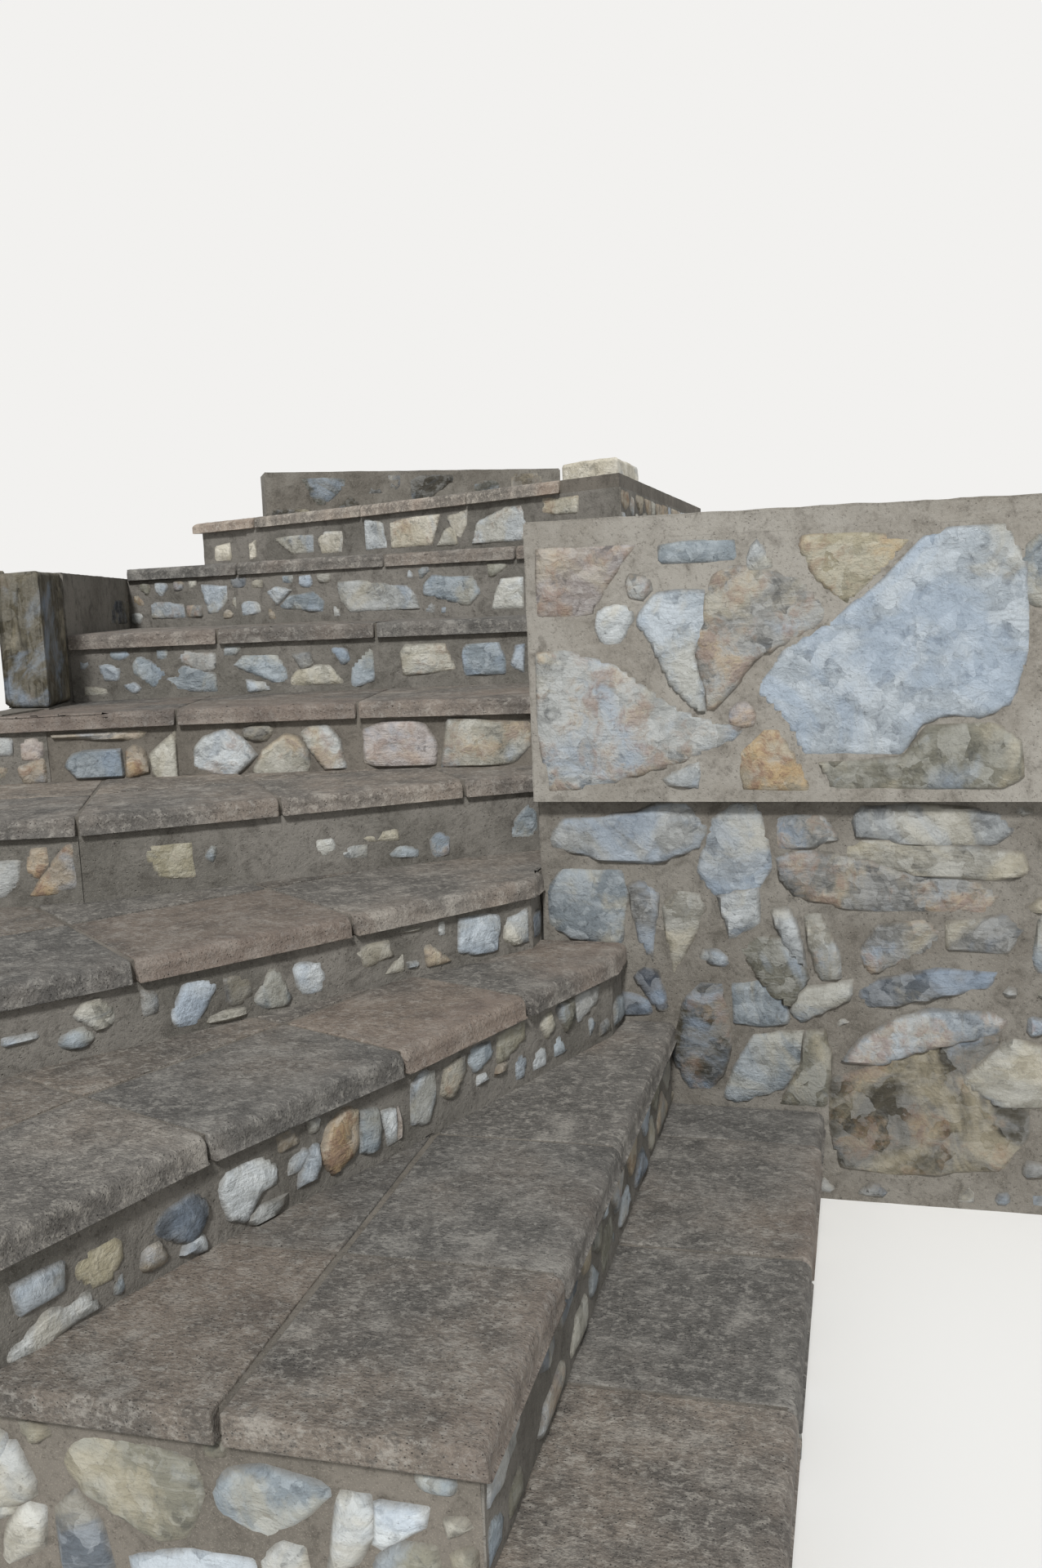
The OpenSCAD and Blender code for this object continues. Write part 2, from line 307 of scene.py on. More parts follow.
def slab_material():
    g = Graph("tread_stone")
    grain = g.attribute("grain")
    nose = g.attribute("nose", out=2)
    own = g.shifted(grain, 9)
    warm, rusty, light = g.parts(grain)
    broad = g.noise(2.6, 5, 0.6, own)
    cloud = g.noise(15, 6, 0.68, own)
    mottle = g.noise(60, 5, 0.7, own, 0.3)
    picks = g.noise(1, 3, 0.6, g.stretched((110, 260, 200), (0, 0, 0.5), own), 0.4)
    pits = g.cells(150, own)
    speck = g.noise(420, 3, 0.6, own)

    colour = g.mix(g.ramp(broad + 0.3 * warm, 0.5, 0.78), SLAB_GREY, SLAB_BROWN)
    colour = g.mix(g.ramp(broad, 0.54, 0.42) * 0.45, colour, SLAB_DARK)
    colour = g.mix(g.ramp(cloud, 0.50, 0.66) * 0.6, colour, SLAB_DARK)
    colour = g.mix(g.ramp(cloud, 0.47, 0.34) * 0.5, colour, SLAB_PALE)
    colour = g.mix(g.ramp(mottle, 0.50, 0.64) * 0.5, colour, SLAB_PALE)
    colour = g.mix(g.ramp(mottle, 0.47, 0.36) * 0.5, colour, SLAB_DARK)
    worn = nose * g.ramp(warm, -0.6, 0.9)
    mauve = g.mix(g.ramp(cloud, 0.42, 0.6), NOSE_MAUVE, NOSE_PLUM)
    colour = g.mix(g.ramp(broad + worn * 0.4, 0.60, 1.0) * (0.12 + 0.25 * rusty), colour, mauve)
    colour = g.mix(g.ramp(picks, 0.52, 0.66) * (0.3 - 0.15 * nose), colour, SLAB_PALE)
    colour = g.mix(g.ramp(picks, 0.48, 0.36) * (0.4 - 0.2 * nose), colour, SLAB_DARK)
    colour = g.mix(g.ramp(broad * rusty, 0.34, 0.52) * 0.15, colour, SLAB_RUST)
    colour = g.mix(g.ramp(pits, 0.19, 0.07) * g.ramp(cloud, 0.42, 0.56) * 0.8, colour, PIT_DARK)
    colour = g.mix(g.ramp(speck, 0.58, 0.70) * 0.4, colour, SLAB_PALE)
    # The third part of grain sets how pale a slab is: a random tone, plus painted sunlight on the sunlit
    # treads
    shade = g.node("ShaderNodeCombineColor", None,
                   {0: 0.86 + 0.28 * light, 1: 0.87 + 0.25 * light, 2: 0.88 + 0.22 * light})
    g.finish("Base Color", g.mix(1.0, colour, shade, "MULTIPLY"))
    g.finish("Roughness", 0.8 - 0.14 * worn + 0.1 * cloud)
    hollow = g.ramp(pits, 0.2, 0.0)
    height = broad * 0.5 + cloud * 0.7 + mottle * 0.22 + picks * 0.2 + hollow * -0.3 + speck * 0.1
    g.bump(height, 0.012)
    return g.material


# %% [markdown]
# ## The finish of the rubble
# Every rubble stone has its own colour, which is stored on its vertices. One material for all of
# them is simpler than one each. It keeps that colour and breaks it up: flakes and thin layers,
# pale and dark patches, a second hue, rust that has run out of the stone, and dirt that gathers
# towards its edge. The fourth part of `grain` says how rusty the stone is.

# %% Rubble material
RUST_OCHRE, RUST_BROWN = paint(172, 144, 100), paint(134, 100, 74)
STONE_CREAM, STONE_BLUE = paint(186, 176, 150), paint(150, 166, 184)
STONE_PALE, SPECK_DARK, EDGE_DIRT = paint(222, 225, 226), paint(66, 65, 62), paint(108, 102, 92)
SHADED, LIT = (0.40, 0.41, 0.43, 1), (1.35, 1.35, 1.35, 1)


def rubble_material(name, layers, dirt, gloss, bright, lay=(16, 16, 70), turn=(0.7, 0.6, 0.2)):
    g = Graph(name)
    tint = g.attribute("tint")
    grain = g.attribute("grain")
    rusty = g.attribute("grain", out=3)
    rim = g.attribute("rim", out=2)
    warm, banded = g.parts(grain)[:2]
    own = g.shifted(grain, 7)
    broad = g.noise(9, 4, 0.6, own, 0.3)
    patch = g.noise(30, 7, 0.68, own, 0.5)
    fine = g.noise(170, 4, 0.7, own)
    strata = g.noise(1, 5, 0.58, g.stretched(lay, turn, own), 0.9)
    flake = g.flakes(26, own)
    chip = g.flakes(75, own)

    dark = g.mix(1.0, tint, SHADED, "MULTIPLY")
    light = g.mix(bright, g.mix(1.0, tint, LIT, "MULTIPLY"), STONE_PALE)
    colour = g.mix(g.ramp(patch + 0.25 * flake, 0.54, 0.40) * 0.7, tint, dark)
    colour = g.mix(g.ramp(broad + 0.3 * flake, 0.58, 0.80) * 0.8, colour, light)
    colour = g.mix(g.ramp(chip * 0.5 + patch, 0.80, 1.0) * 0.5, colour, light)
    band = g.ramp(strata, 0.52, 0.60) * g.ramp(strata, 0.72, 0.64)
    colour = g.mix(band * banded * layers, colour, light)
    colour = g.mix(g.ramp(strata, 0.46, 0.32) * layers * 0.8, colour, dark)
    hue = g.noise(5, 5, 0.6, own, 0.8) + 0.12 * warm
    colour = g.mix(g.ramp(hue, 0.56, 0.70) * 0.4, colour, STONE_CREAM)
    colour = g.mix(g.ramp(hue, 0.52, 0.38) * 0.5, colour, STONE_BLUE)
    stain = g.mix(g.ramp(patch, 0.45, 0.6), RUST_OCHRE, RUST_BROWN)
    colour = g.mix(g.ramp(patch * 0.4 + broad * 0.6 + 0.1 * rusty, 0.55, 0.68) * rusty * 0.75, colour, stain)
    colour = g.mix(g.ramp(fine, 0.58, 0.72) * 0.45, colour, SPECK_DARK)
    colour = g.mix(g.ramp(rim + 0.45 * patch, 0.85, 1.2) * dirt, colour, EDGE_DIRT)
    g.finish("Base Color", colour)
    g.finish("Roughness", gloss + 0.3 * patch)
    layered = strata * 0.7 * banded * layers
    g.bump(broad * 0.6 + patch * 0.6 + layered + flake * 0.4 + chip * 0.2 + fine * 0.12, 0.014)
    return g.material


# %% [markdown]
# ## The finish of the mortar
# Old mortar is sand first and lime second: grey-brown, weathered pale where it stands proud and
# stained dark in its hollows, with small holes where a grain has fallen out. The risers, the two
# parts of the retaining wall and the joints of the slabs were filled at different times, so one
# function makes a mortar of any three tones.

# %% Mortar material
SAND, HOLE_DARK = paint(176, 168, 154), paint(58, 53, 47)


def mortar_material(name, base, dark, light, level):
    base, dark, light = paint(*base), paint(*dark), paint(*light)
    g = Graph(name)
    broad = g.noise(4, 5, 0.6)
    patch = g.noise(22, 7, 0.68, None, 0.5)
    grit = g.noise(140, 4, 0.7)
    sand = g.noise(520, 2, 0.5)
    holes = g.cells(85)
    colour = g.mix(g.ramp(broad, 0.38, 0.62), base, light)
    colour = g.mix(g.ramp(patch, 0.46, 0.74) * 0.75, colour, dark)
    colour = g.mix(g.ramp(patch, 0.46, 0.34) * 0.4, colour, light)
    colour = g.mix(g.ramp(grit, 0.54, 0.68) * 0.45, colour, light)
    colour = g.mix(g.ramp(grit, 0.46, 0.32) * 0.55, colour, dark)
    colour = g.mix(g.ramp(sand, 0.56, 0.7) * 0.25, colour, SAND)
    colour = g.mix(g.ramp(holes, 0.15, 0.04) * g.ramp(patch, 0.45, 0.6) * 0.6, colour, HOLE_DARK)
    g.finish("Base Color", colour)
    g.finish("Roughness", 0.86 + 0.1 * patch)
    hollow = g.ramp(holes, 0.18, 0.0)
    g.bump(broad * 0.6 + patch * 0.6 + grit * 0.2 + sand * 0.08 + hollow * -0.2, level, 0.9)
    return g.material


# %% All finishes
finish = {
    "slab": slab_material(),
    "stone": rubble_material("rubble_stone", 0.38, 0.7, 0.55, 0.2),
    "streaked": rubble_material("weathered_stone", 1.0, 0.5, 0.68, 0.1, (60, 60, 9), (0, 0, 0)),
    "mortar": mortar_material("riser_mortar", (106, 103, 96), (67, 63, 57), (128, 124, 117), 0.010),
    "wall_mortar": mortar_material("wall_mortar", (134, 129, 120), (92, 87, 79), (154, 150, 142), 0.008),
    "low_mortar": mortar_material("lower_wall_mortar", (108, 103, 95), (70, 66, 59), (130, 126, 118), 0.010),
    "joint": mortar_material("joint_mortar", (100, 95, 87), (68, 63, 56), (118, 112, 103), 0.006),
}
print("finishes:", ", ".join(finish))

# %% [markdown]
# ## From a frame mesh to a finished piece
# A new surface starts from the CAD solid that it covers, so that it lies exactly on it. The copy
# is merged and its flat triangles are dissolved, which gives back the few large faces that the
# solid was made of. A finished mesh becomes a piece: it rides on the body of the steps and may
# take the place of the frame's own mesh.

# %% Copies and pieces
FLAT = math.radians(1)
SMOOTH = math.radians(50)


def copy_of(name):
    bm = bmesh.new()
    bm.from_mesh(nodes[name].data)
    bmesh.ops.remove_doubles(bm, verts=bm.verts, dist=1e-5)
    bmesh.ops.dissolve_limit(bm, angle_limit=FLAT, verts=bm.verts, edges=bm.edges)
    bm.normal_update()
    return bm


def piece(name, bm, material, slot, replaces=()):
    """Makes a finished piece of a bmesh, riding on the one body of the steps."""
    mesh = bpy.data.meshes.new(name)
    for face in bm.faces:
        face.smooth = True
    bm.to_mesh(mesh)
    bm.free()
    mesh.set_sharp_from_angle(angle=SMOOTH)
    mesh.materials.append(material)
    made = bpy.data.objects.new(name, mesh)
    bpy.context.scene.collection.objects.link(made)
    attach(made, "root")
    if replaces:
        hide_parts(*replaces)
    print(name, sum(len(p.vertices) - 2 for p in mesh.polygons), "triangles")


# %% A grid to shape, and noise to shape it with
def cut_grid(bm, step, axes=(0, 1)):
    """Cuts a mesh along evenly spaced planes, so that it has points to shape."""
    for axis in axes:
        low = min(v.co[axis] for v in bm.verts)
        high = max(v.co[axis] for v in bm.verts)
        normal = Vector([float(i == axis) for i in range(3)])
        for i in range(1, int((high - low) / step) + 1):
            place = low + i * step
            if high - place > step * 0.3:
                bmesh.ops.bisect_plane(bm, geom=bm.verts[:] + bm.edges[:] + bm.faces[:], dist=1e-6,
                                       plane_co=normal * place, plane_no=normal)


def ripple(point, size, seed=0):
    """Smooth noise from -1 to 1 that changes over a length of about size."""
    return noise.noise(Vector(point) / size + Vector((seed * 7.3, seed * 3.1, seed * 5.7)))


# %% [markdown]
# ## The slabs
# On the real steps the slabs are sawn thick and dressed by hand, and years of feet have rounded
# every edge. One way would be a sculpted mesh for each. Here all slabs of a tread keep the CAD
# outline, get a small bevel, and are cut into a fine grid whose points sink by a few millimetres
# of noise: wide dips on the top, and chips where the nosing has been knocked. Each slab also
# settles and tilts a little by itself, as slabs do on old mortar.

# %% Parts of a slab
# How high the upright flat of a nosing is, at least and at most, and how near to the bed it starts
FLAT_LEAST, FLAT_MOST, BED_GAP = 0.01, 0.03, 0.001


def islands(bm):
    """The separate solids of a mesh, each as a list of its points."""
    seen, found = set(), []
    for start in bm.verts:
        if start in seen:
            continue
        seen.add(start)
        group, queue = [start], [start]
        while queue:
            for edge in queue.pop().link_edges:
                for vert in edge.verts:
                    if vert not in seen:
                        seen.add(vert)
                        group.append(vert)
                        queue.append(vert)
        found.append(group)
    return found


def nosing_lines(bm, bed):
    """The upright flats under the rounding of a nosing: a point on each, and its outward direction."""
    lines = []
    for face in bm.faces:
        low = min(v.co.z for v in face.verts)
        high = max(v.co.z for v in face.verts)
        upright = abs(face.normal.z) < 0.01
        if upright and low < bed + BED_GAP and FLAT_LEAST < high - low < FLAT_MOST:
            lines.append((face.calc_center_median(), face.normal.copy()))
    return lines


# %% [markdown]
# ## Cutting a slab
# Where a cut runs close beside the bevel it leaves slivers, which would fold and show as dark
# slits once their points move. So edges of about a millimetre are collapsed after the cuts. The
# underside never shows, so it goes back to one face.

# %% Cut slabs
EDGE_WEAR = 0.004
SLAB_GRID = 0.016
SLIVER = 0.0012
CREASE = math.radians(40)


def cut_slabs(name, bed):
    """The slabs of a tread with their edges worn round, cut into a grid, and their nosing lines."""
    bm = copy_of(name)
    lines = nosing_lines(bm, bed)
    sharp = [e for e in bm.edges if e.is_manifold and e.calc_face_angle(0) > CREASE]
    bmesh.ops.bevel(bm, geom=sharp, offset=EDGE_WEAR, segments=2, profile=0.5, affect="EDGES", material=-1)
    cut_grid(bm, SLAB_GRID)
    bmesh.ops.dissolve_degenerate(bm, dist=SLIVER, edges=bm.edges)
    bm.normal_update()
    under = [e for e in bm.edges if all(f.normal.z < -0.99 and f.calc_center_median().z < bed + BED_GAP
                                        for f in e.link_faces)]
    bmesh.ops.dissolve_edges(bm, edges=under, use_verts=False)
    bm.normal_update()
    return bm, lines


# %% [markdown]
# ## Wear
# The wear at a point is a sum of noises: wide dips, pits, a nosing that wanders, and chips where
# two noises are both high, so that they come in groups. A point moves straight down or straight
# back from its nosing and never along it, so that the surface can't fold at a joint.

# %% Worn slabs
DIP, PITTING, CHIP, WANDER = 0.0014, 0.0012, 0.008, 0.005
DEEPEST_TOP, DEEPEST_NOSE = 0.004, 0.006
NOSE_REACH = 0.085
# From how near to the nosing on it chips more, and from where it wanders
CHIPS_FROM, WANDERS_FROM = 0.6, 0.7
SETTLED, TILTED, UNMOVED = 0.002, 0.003, 0.002
# How much paler than the others the slabs of a tread are: painted sunlight, strong on tread 9 and slight on
# tread 5
SUNLIT_TREADS = {5: 0.2, 9: 2.0}


def wear(where, near, upward):
    """How deep a slab has worn at a place, where near is 1 at its nosing and 0 away from it."""
    drop = DIP * (1 + ripple(where, 0.16)) + PITTING * (1 + near) * (1 + ripple(where, 0.028, 1))
    knock = max(0.0, ripple(where, 0.045, 2) - 0.2) * max(0.0, ripple(where, 0.25, 3) + 0.4)
    drop += CHIP * knock * (2.0 * near if near > CHIPS_FROM else 0.2)
    if near > WANDERS_FROM:
        drop += WANDER * max(0.0, ripple(where, 0.12, 4) + 0.2)
    return min(drop, DEEPEST_TOP if upward else DEEPEST_NOSE)


def make_slabs(k):
    name = f"tread_{k}"
    rng = random.Random(100 + k)
    bed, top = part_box(name)[0].z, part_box(name)[1].z
    bm, lines = cut_slabs(name, bed)
    grain = bm.verts.layers.float_color.new("grain")
    nose = bm.verts.layers.float.new("nose")
    for slab in islands(bm):
        # The third mark is a random paleness plus the painted sunlight of a sunlit tread
        mark = [rng.random(), rng.random(), rng.random() + SUNLIT_TREADS.get(k, 0)]
        sink = rng.uniform(0, SETTLED)
        tilt = Vector((rng.uniform(-1, 1), rng.uniform(-1, 1), 0)) * TILTED
        middle = sum((v.co for v in slab), Vector()) / len(slab)
        moves = []
        for vert in slab:
            reach = min((abs((vert.co - at).dot(way)) for at, way in lines), default=1)
            near = max(0.0, 1 - reach / NOSE_REACH)
            vert[grain] = (*mark, 1)
            vert[nose] = near
            if vert.co.z < bed + UNMOVED:
                continue
            drop = wear(vert.co + Vector(mark) * 3, near, vert.normal.z > 0.7)
            lift = (vert.co.z - bed) / (top - bed)
            down = lift * (sink + abs((vert.co - middle).dot(tilt)))
            way = max((line[1] for line in lines), key=vert.normal.dot)
            push = way * max(0.0, vert.normal.dot(way)) + plumb * max(0.0, vert.normal.z)
            moves.append((vert, -push * drop - plumb * down))
        for vert, move in moves:
            vert.co += move
    piece(f"slabs_{k}", bm, finish["slab"], "tread_stone", (name,))


for k in range(1, TREADS + 1):
    make_slabs(k)

# %% [markdown]
# ## Mortar between the slabs
# The joints are filled to a few millimetres under the stone. The bed of a tread is the set of
# upward faces of the masonry at that height, so those faces are copied and extruded up.

# %% Joint mortar
JOINT_DEPTH, JOINT_GRID, JOINT_WAVE = 0.007, 0.05, 0.001
BEDS = ("front_flank", "left_flank", "house_side_flank", "back_flank")


def append(target, bm):
    """Adds a finished bmesh to another and frees it."""
    mesh = bpy.data.meshes.new("part")
    bm.to_mesh(mesh)
    bm.free()
    target.from_mesh(mesh)
    bpy.data.meshes.remove(mesh)


def make_joints(k):
    bed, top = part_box(f"tread_{k}")[0].z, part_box(f"tread_{k}")[1].z
    joints = bmesh.new()
    for name in (f"riser_{k}",) + BEDS:
        bm = copy_of(name)
        spare = [f for f in bm.faces if f.normal.z < 0.9 or abs(f.calc_center_median().z - bed) > 1e-4]
        bmesh.ops.delete(bm, geom=spare, context="FACES")
        if bm.faces:
            cut_grid(bm, JOINT_GRID)
            raised = bmesh.ops.extrude_face_region(bm, geom=bm.faces[:])["geom"]
            for vert in (v for v in raised if isinstance(v, bmesh.types.BMVert)):
                vert.co.z = top - JOINT_DEPTH + JOINT_WAVE * ripple(vert.co, 0.05)
            bmesh.ops.recalc_face_normals(bm, faces=bm.faces)
        append(joints, bm)
    piece(f"joints_{k}", joints, finish["joint"], "mortar")


for k in range(1, TREADS + 1):
    make_joints(k)

# %% [markdown]
# ## Rubble faces
# A rubble face is stones first and mortar second: the mason sets stones of every shape and then
# fills between them, letting the mortar lap over their edges. So each open face of the masonry
# gets a skin of rippled mortar and a set of stones that stand out of it. Where a stone's rounded
# shoulder dips under the rippled skin, its outline comes out irregular by itself.
#
# Every face is worked in its own plane, where x runs along it, y up and z outwards, and a matrix
# brings the result to its place.

# %% Inside or outside the masonry
RAY = Vector((0.013, 0.007, 1)).normalized()
solids = {}
for name in nodes:
    bm = bmesh.new()
    bm.from_mesh(nodes[name].data)
    solids[name] = BVHTree.FromBMesh(bm)
    bm.free()
print(len(solids), "solids to test points against")


def buried(point, skip):
    """Whether a point lies inside a solid: a ray up from it then meets that solid an odd number of times."""
    for name, tree in solids.items():
        at, crossings = Vector(point), 0
        while name != skip:
            hit = tree.ray_cast(at, RAY)[0]
            if hit is None:
                break
            crossings += 1
            at = hit + RAY * 1e-5
        if crossings % 2:
            return True
    return False


# %% Outlines in a plane
def sides_of(outline):
    """The sides of an outline, each as its two ends."""
    return zip(outline, outline[1:] + outline[:1])


def holds(outline, x, y):
    """Whether an outline holds a point of its plane."""
    crossings = 0
    for a, b in sides_of(outline):
        if (a.y > y) != (b.y > y) and x < a.x + (b.x - a.x) * (y - a.y) / (b.y - a.y):
            crossings += 1
    return crossings % 2 == 1


def near_edge(here, outline):
    """The point of an outline that is nearest to a place."""
    best = (1e9, None)
    for a, b in sides_of(outline):
        side = b - a
        share = min(max((here - a).dot(side) / side.length_squared, 0.0), 1.0)
        best = min(best, ((a + side * share - here).length, tuple(a + side * share)))
    return Vector(best[1])


def span(outline):
    """How far an outline reaches, as x0, x1, y0, y1."""
    return (min(p.x for p in outline), max(p.x for p in outline),
            min(p.y for p in outline), max(p.y for p in outline))


# %% The plane of a face
# How far off a face a point is tried, and at how many places along it and up it
OFF_FACE = 0.004
TRIES_ALONG, TRIES_UP = 9, 7


def face_plane(face):
    """The matrix of a face's own plane, and the outline of the face in it."""
    out = face.normal.normalized()
    along = plumb.cross(out).normalized() if abs(out.z) < 0.9 else Vector((1, 0, 0))
    rise = out.cross(along)
    matrix = Matrix((along, rise, out)).transposed().to_4x4()
    matrix.translation = face.verts[0].co
    back = matrix.inverted()
    return matrix, [(back @ v.co).to_2d() for v in face.verts]


def is_open(matrix, outline, name):
    """Whether any of a face shows: points just off it are tried against the other solids."""
    x0, x1, y0, y1 = span(outline)
    for i in range(TRIES_ALONG):
        for j in range(TRIES_UP):
            x = x0 + (x1 - x0) * (i + 0.5) / TRIES_ALONG
            y = y0 + (y1 - y0) * (j + 0.5) / TRIES_UP
            if holds(outline, x, y) and not buried(matrix @ Vector((x, y, OFF_FACE)), name):
                return True
    return False


# %% [markdown]
# ## Making room for the stones
# On the walls and the two hidden flanks the CAD solid is the face of the finished masonry, so
# stones and mortar have to end flush with it. The solid under them is therefore drawn in first.
# Scaling it would move its hidden faces too, so each corner moves by itself to where its faces
# meet once they are set back.

# %% Setting faces back
def draw_in(bm, depth, shown):
    """Sets the faces of a solid that are in a list back by depth."""
    moves = []
    for vert in bm.verts:
        planes = []
        for face in vert.link_faces:
            if all(face.normal.dot(n) < 0.99 for n, d in planes):
                planes.append((face.normal.copy(), depth if face in shown else 0.0))
        while len(planes) < 3:
            spare = planes[0][0].cross(planes[1][0] if len(planes) > 1 else plumb)
            planes.append((spare.normalized(), 0.0))
        rows = Matrix([n for n, d in planes[:3]])
        moves.append((vert, rows.inverted() @ Vector([-d for n, d in planes[:3]])))
    for vert, move in moves:
        vert.co += move
    bm.normal_update()


# %% [markdown]
# ## Styles and colours of rubble
# Small hard stones with much mortar, large smooth ones in the retaining wall, rough ones at the
# foot: the parts of the masonry differ only in a few sizes and colours. So a style holds those,
# and the same functions lay every face. The colours have the names by which the lists further
# down call them.

# %% Style of a face
class Style:
    """How the rubble of one part of the masonry looks. Lengths are in metres."""

    def __init__(self, size, course, joint, relief, skin, waves, step, colours, mortar, slot,
                 sink=0.0, foot=0.0, shoulder=0.006, rust=0.2, filler=None, lap=0.004, light=1.0):
        # The stones: their width, the height of a course, the joint and how far they stand out
        self.size, self.course, self.joint, self.relief = size, course, joint, relief
        # The mortar: its thickness, its ripples and the grid that both are cut into
        self.skin, self.waves, self.step = skin, waves, step
        self.colours, self.mortar, self.slot = colours, mortar, slot
        # How far the solid is drawn in, the bare height at its foot, and the rounding of a stone
        self.sink, self.foot, self.shoulder, self.rust = sink, foot, shoulder, rust
        # The style of small stones in the gaps, and what a placed stone gains for the mortar to lap
        self.filler, self.lap, self.light = filler, lap, light


def styled(base, **changes):
    """The style of a set of entries, some of them changed."""
    return Style(**{**base, **changes})


# %% Colours of stones
# ivory is paler than its stone: painted sunlight, as it is the stone of the sunlit top riser
COLOURS = {
    "blue": (138, 148, 154), "sky": (166, 175, 182), "white": (188, 193, 194), "cream": (176, 173, 160),
    "ivory": (206, 200, 184), "grey": (144, 144, 140), "pale": (166, 168, 165), "olive": (128, 126, 112),
    "tan": (156, 145, 126), "yellow": (172, 165, 140), "rust": (164, 152, 134), "rose": (164, 155, 150),
    "brown": (98, 91, 74), "umber": (80, 74, 58), "slate": (94, 101, 108), "navy": (64, 72, 84),
    "dark": (82, 80, 76),
}
RUSTY = {"rust": 1.0, "rose": 0.6, "yellow": 0.5, "umber": 0.5, "tan": 0.4}
print(len(COLOURS), "colours of stone, of which", len(RUSTY), "are rusty")

# %% [markdown]
# ## One stone
# A stone starts as the flat outline of its face. Its corners are cut, two rings are inset along
# its edge, and it is cut into a grid. Each point then rises with its distance from the edge, so
# that the stone gets a rounded shoulder and an uneven, slightly tilted face. Three planes at the
# sides of the face slope away from its middle, as where a flake has split off. Last its edge is
# extruded back into the masonry and closed, so that every stone is a solid.

# %% Flat blank of a stone
CORNER_MERGE, CORNER_CUT = 0.006, 0.0035
RINGS = (0.35, 0.5)


def stone_blank(outline, style):
    """A flat outline cut into a grid, and its rim as (start, direction, length) of each side."""
    bm = bmesh.new()
    bm.faces.new([bm.verts.new((x, y, 0)) for x, y in outline])
    bm.normal_update()
    if bm.faces[:][0].normal.z < 0:
        bmesh.ops.reverse_faces(bm, faces=bm.faces[:])
    bmesh.ops.remove_doubles(bm, verts=bm.verts, dist=CORNER_MERGE)
    short = min(e.calc_length() for e in bm.edges)
    bmesh.ops.bevel(bm, geom=bm.verts[:], offset=min(CORNER_CUT, short * 0.3), segments=1, profile=0.5,
                    affect="VERTICES", material=-1)
    rim = [(e.verts[0].co.copy(), (e.verts[1].co - e.verts[0].co).normalized(), e.calc_length())
           for e in bm.edges]
    inner = bm.faces[:]
    for share in RINGS:
        bmesh.ops.inset_region(bm, faces=inner, thickness=min(style.shoulder * share, short * 0.15),
                               use_even_offset=True)
    cut_grid(bm, style.step)
    return bm, rim


def edge_gap(point, rim):
    """Distance of a point from the nearest side of a rim."""
    nearest = 1.0
    for a, way, length in rim:
        along = min(max((point - a).dot(way), 0.0), length)
        nearest = min(nearest, (a + way * along - point).length)
    return nearest


def close_behind(bm, depth):
    """Makes a sheet solid: its open edge is extruded to a depth behind its plane, and closed."""
    sides = bmesh.ops.extrude_edge_only(bm, edges=[e for e in bm.edges if e.is_boundary])["geom"]
    for vert in sides:
        if isinstance(vert, bmesh.types.BMVert):
            vert.co.z = -depth
    bmesh.ops.holes_fill(bm, edges=[e for e in bm.edges if e.is_boundary])
    bmesh.ops.recalc_face_normals(bm, faces=bm.faces)


# %% Relief of a stone
BURIED, LIP, TILT = 0.010, 0.001, 0.002
# The start of each split, as a share of the way from the middle, how steep it may be, and how far
# over the mortar it ends
SPLITS, SPLIT_SLOPE, SPLIT_LEFT = (0.15, 0.3, 0.45), (0.05, 0.3), 0.003
LUMPS, PITS = 0.0013, 0.0009
LIGHTNESS, SOME_RUST, DIRTY_RIM = (0.92, 1.08), 0.7, 0.03
ROUND = 6.28


def make_stone(outline, colour, style, rng):
    """A closed stone in the plane of its face, standing proud of the plane by the style's relief."""
    bm, rim = stone_blank(outline, style)
    tint = bm.verts.layers.float_color.new("tint")
    grain = bm.verts.layers.float_color.new("grain")
    ring = bm.verts.layers.float.new("rim")
    light = rng.uniform(*LIGHTNESS) * style.light
    shade = paint(*(min(250, c * light) for c in COLOURS[colour]))
    mark = Vector([rng.random() for _ in range(3)])
    rusty = max(RUSTY.get(colour, 0.0), SOME_RUST * (rng.random() < style.rust))
    height = rng.uniform(*style.relief)
    middle = sum((v.co for v in bm.verts), Vector()) / len(bm.verts)
    reach = max((v.co - middle).length for v in bm.verts)
    lean = Vector((rng.uniform(-1, 1), rng.uniform(-1, 1), 0)) * TILT / reach
    splits = []
    for start in SPLITS:
        way = Matrix.Rotation(rng.uniform(0, ROUND), 3, "Z") @ Vector((1, 0, 0))
        splits.append((way, start * reach, rng.uniform(*SPLIT_SLOPE)))
    for vert in bm.verts:
        gap = edge_gap(vert.co, rim)
        rise = 1 - (1 - min(1.0, gap / style.shoulder)) ** 2
        where = vert.co + mark * 5
        rough = LUMPS * ripple(where, 0.06) + PITS * ripple(where, 0.022, 1)
        split = sum(max(0.0, (vert.co - middle).dot(way) - start) * slope for way, start, slope in splits)
        split = min(split, max(0.0, height - style.skin - SPLIT_LEFT))
        lift = rough + (vert.co - middle).dot(lean) - split
        vert[tint] = shade
        vert[grain] = (*mark, rusty)
        vert[ring] = 1 - min(1.0, gap / DIRTY_RIM)
        vert.co.z = -LIP + (height + LIP + lift) * rise
    close_behind(bm, BURIED)
    return bm


# %% [markdown]
# ## Laying stones at random
# Where the photograph doesn't show a face, its stones are laid by a rule: rough courses of seeds,
# and around each seed a plate that is trimmed by a plane part of the way to each neighbour. The
# planes are turned a little at random, so that the joints aren't even.

# %% Courses of seeds
LEAST_STEP, LEAST_BAND = 0.004, 0.03
END_ROOM = 0.015
WIDTHS, HEIGHTS = (0.5, 1.5), (0.8, 1.15)
STAGGER = 0.25


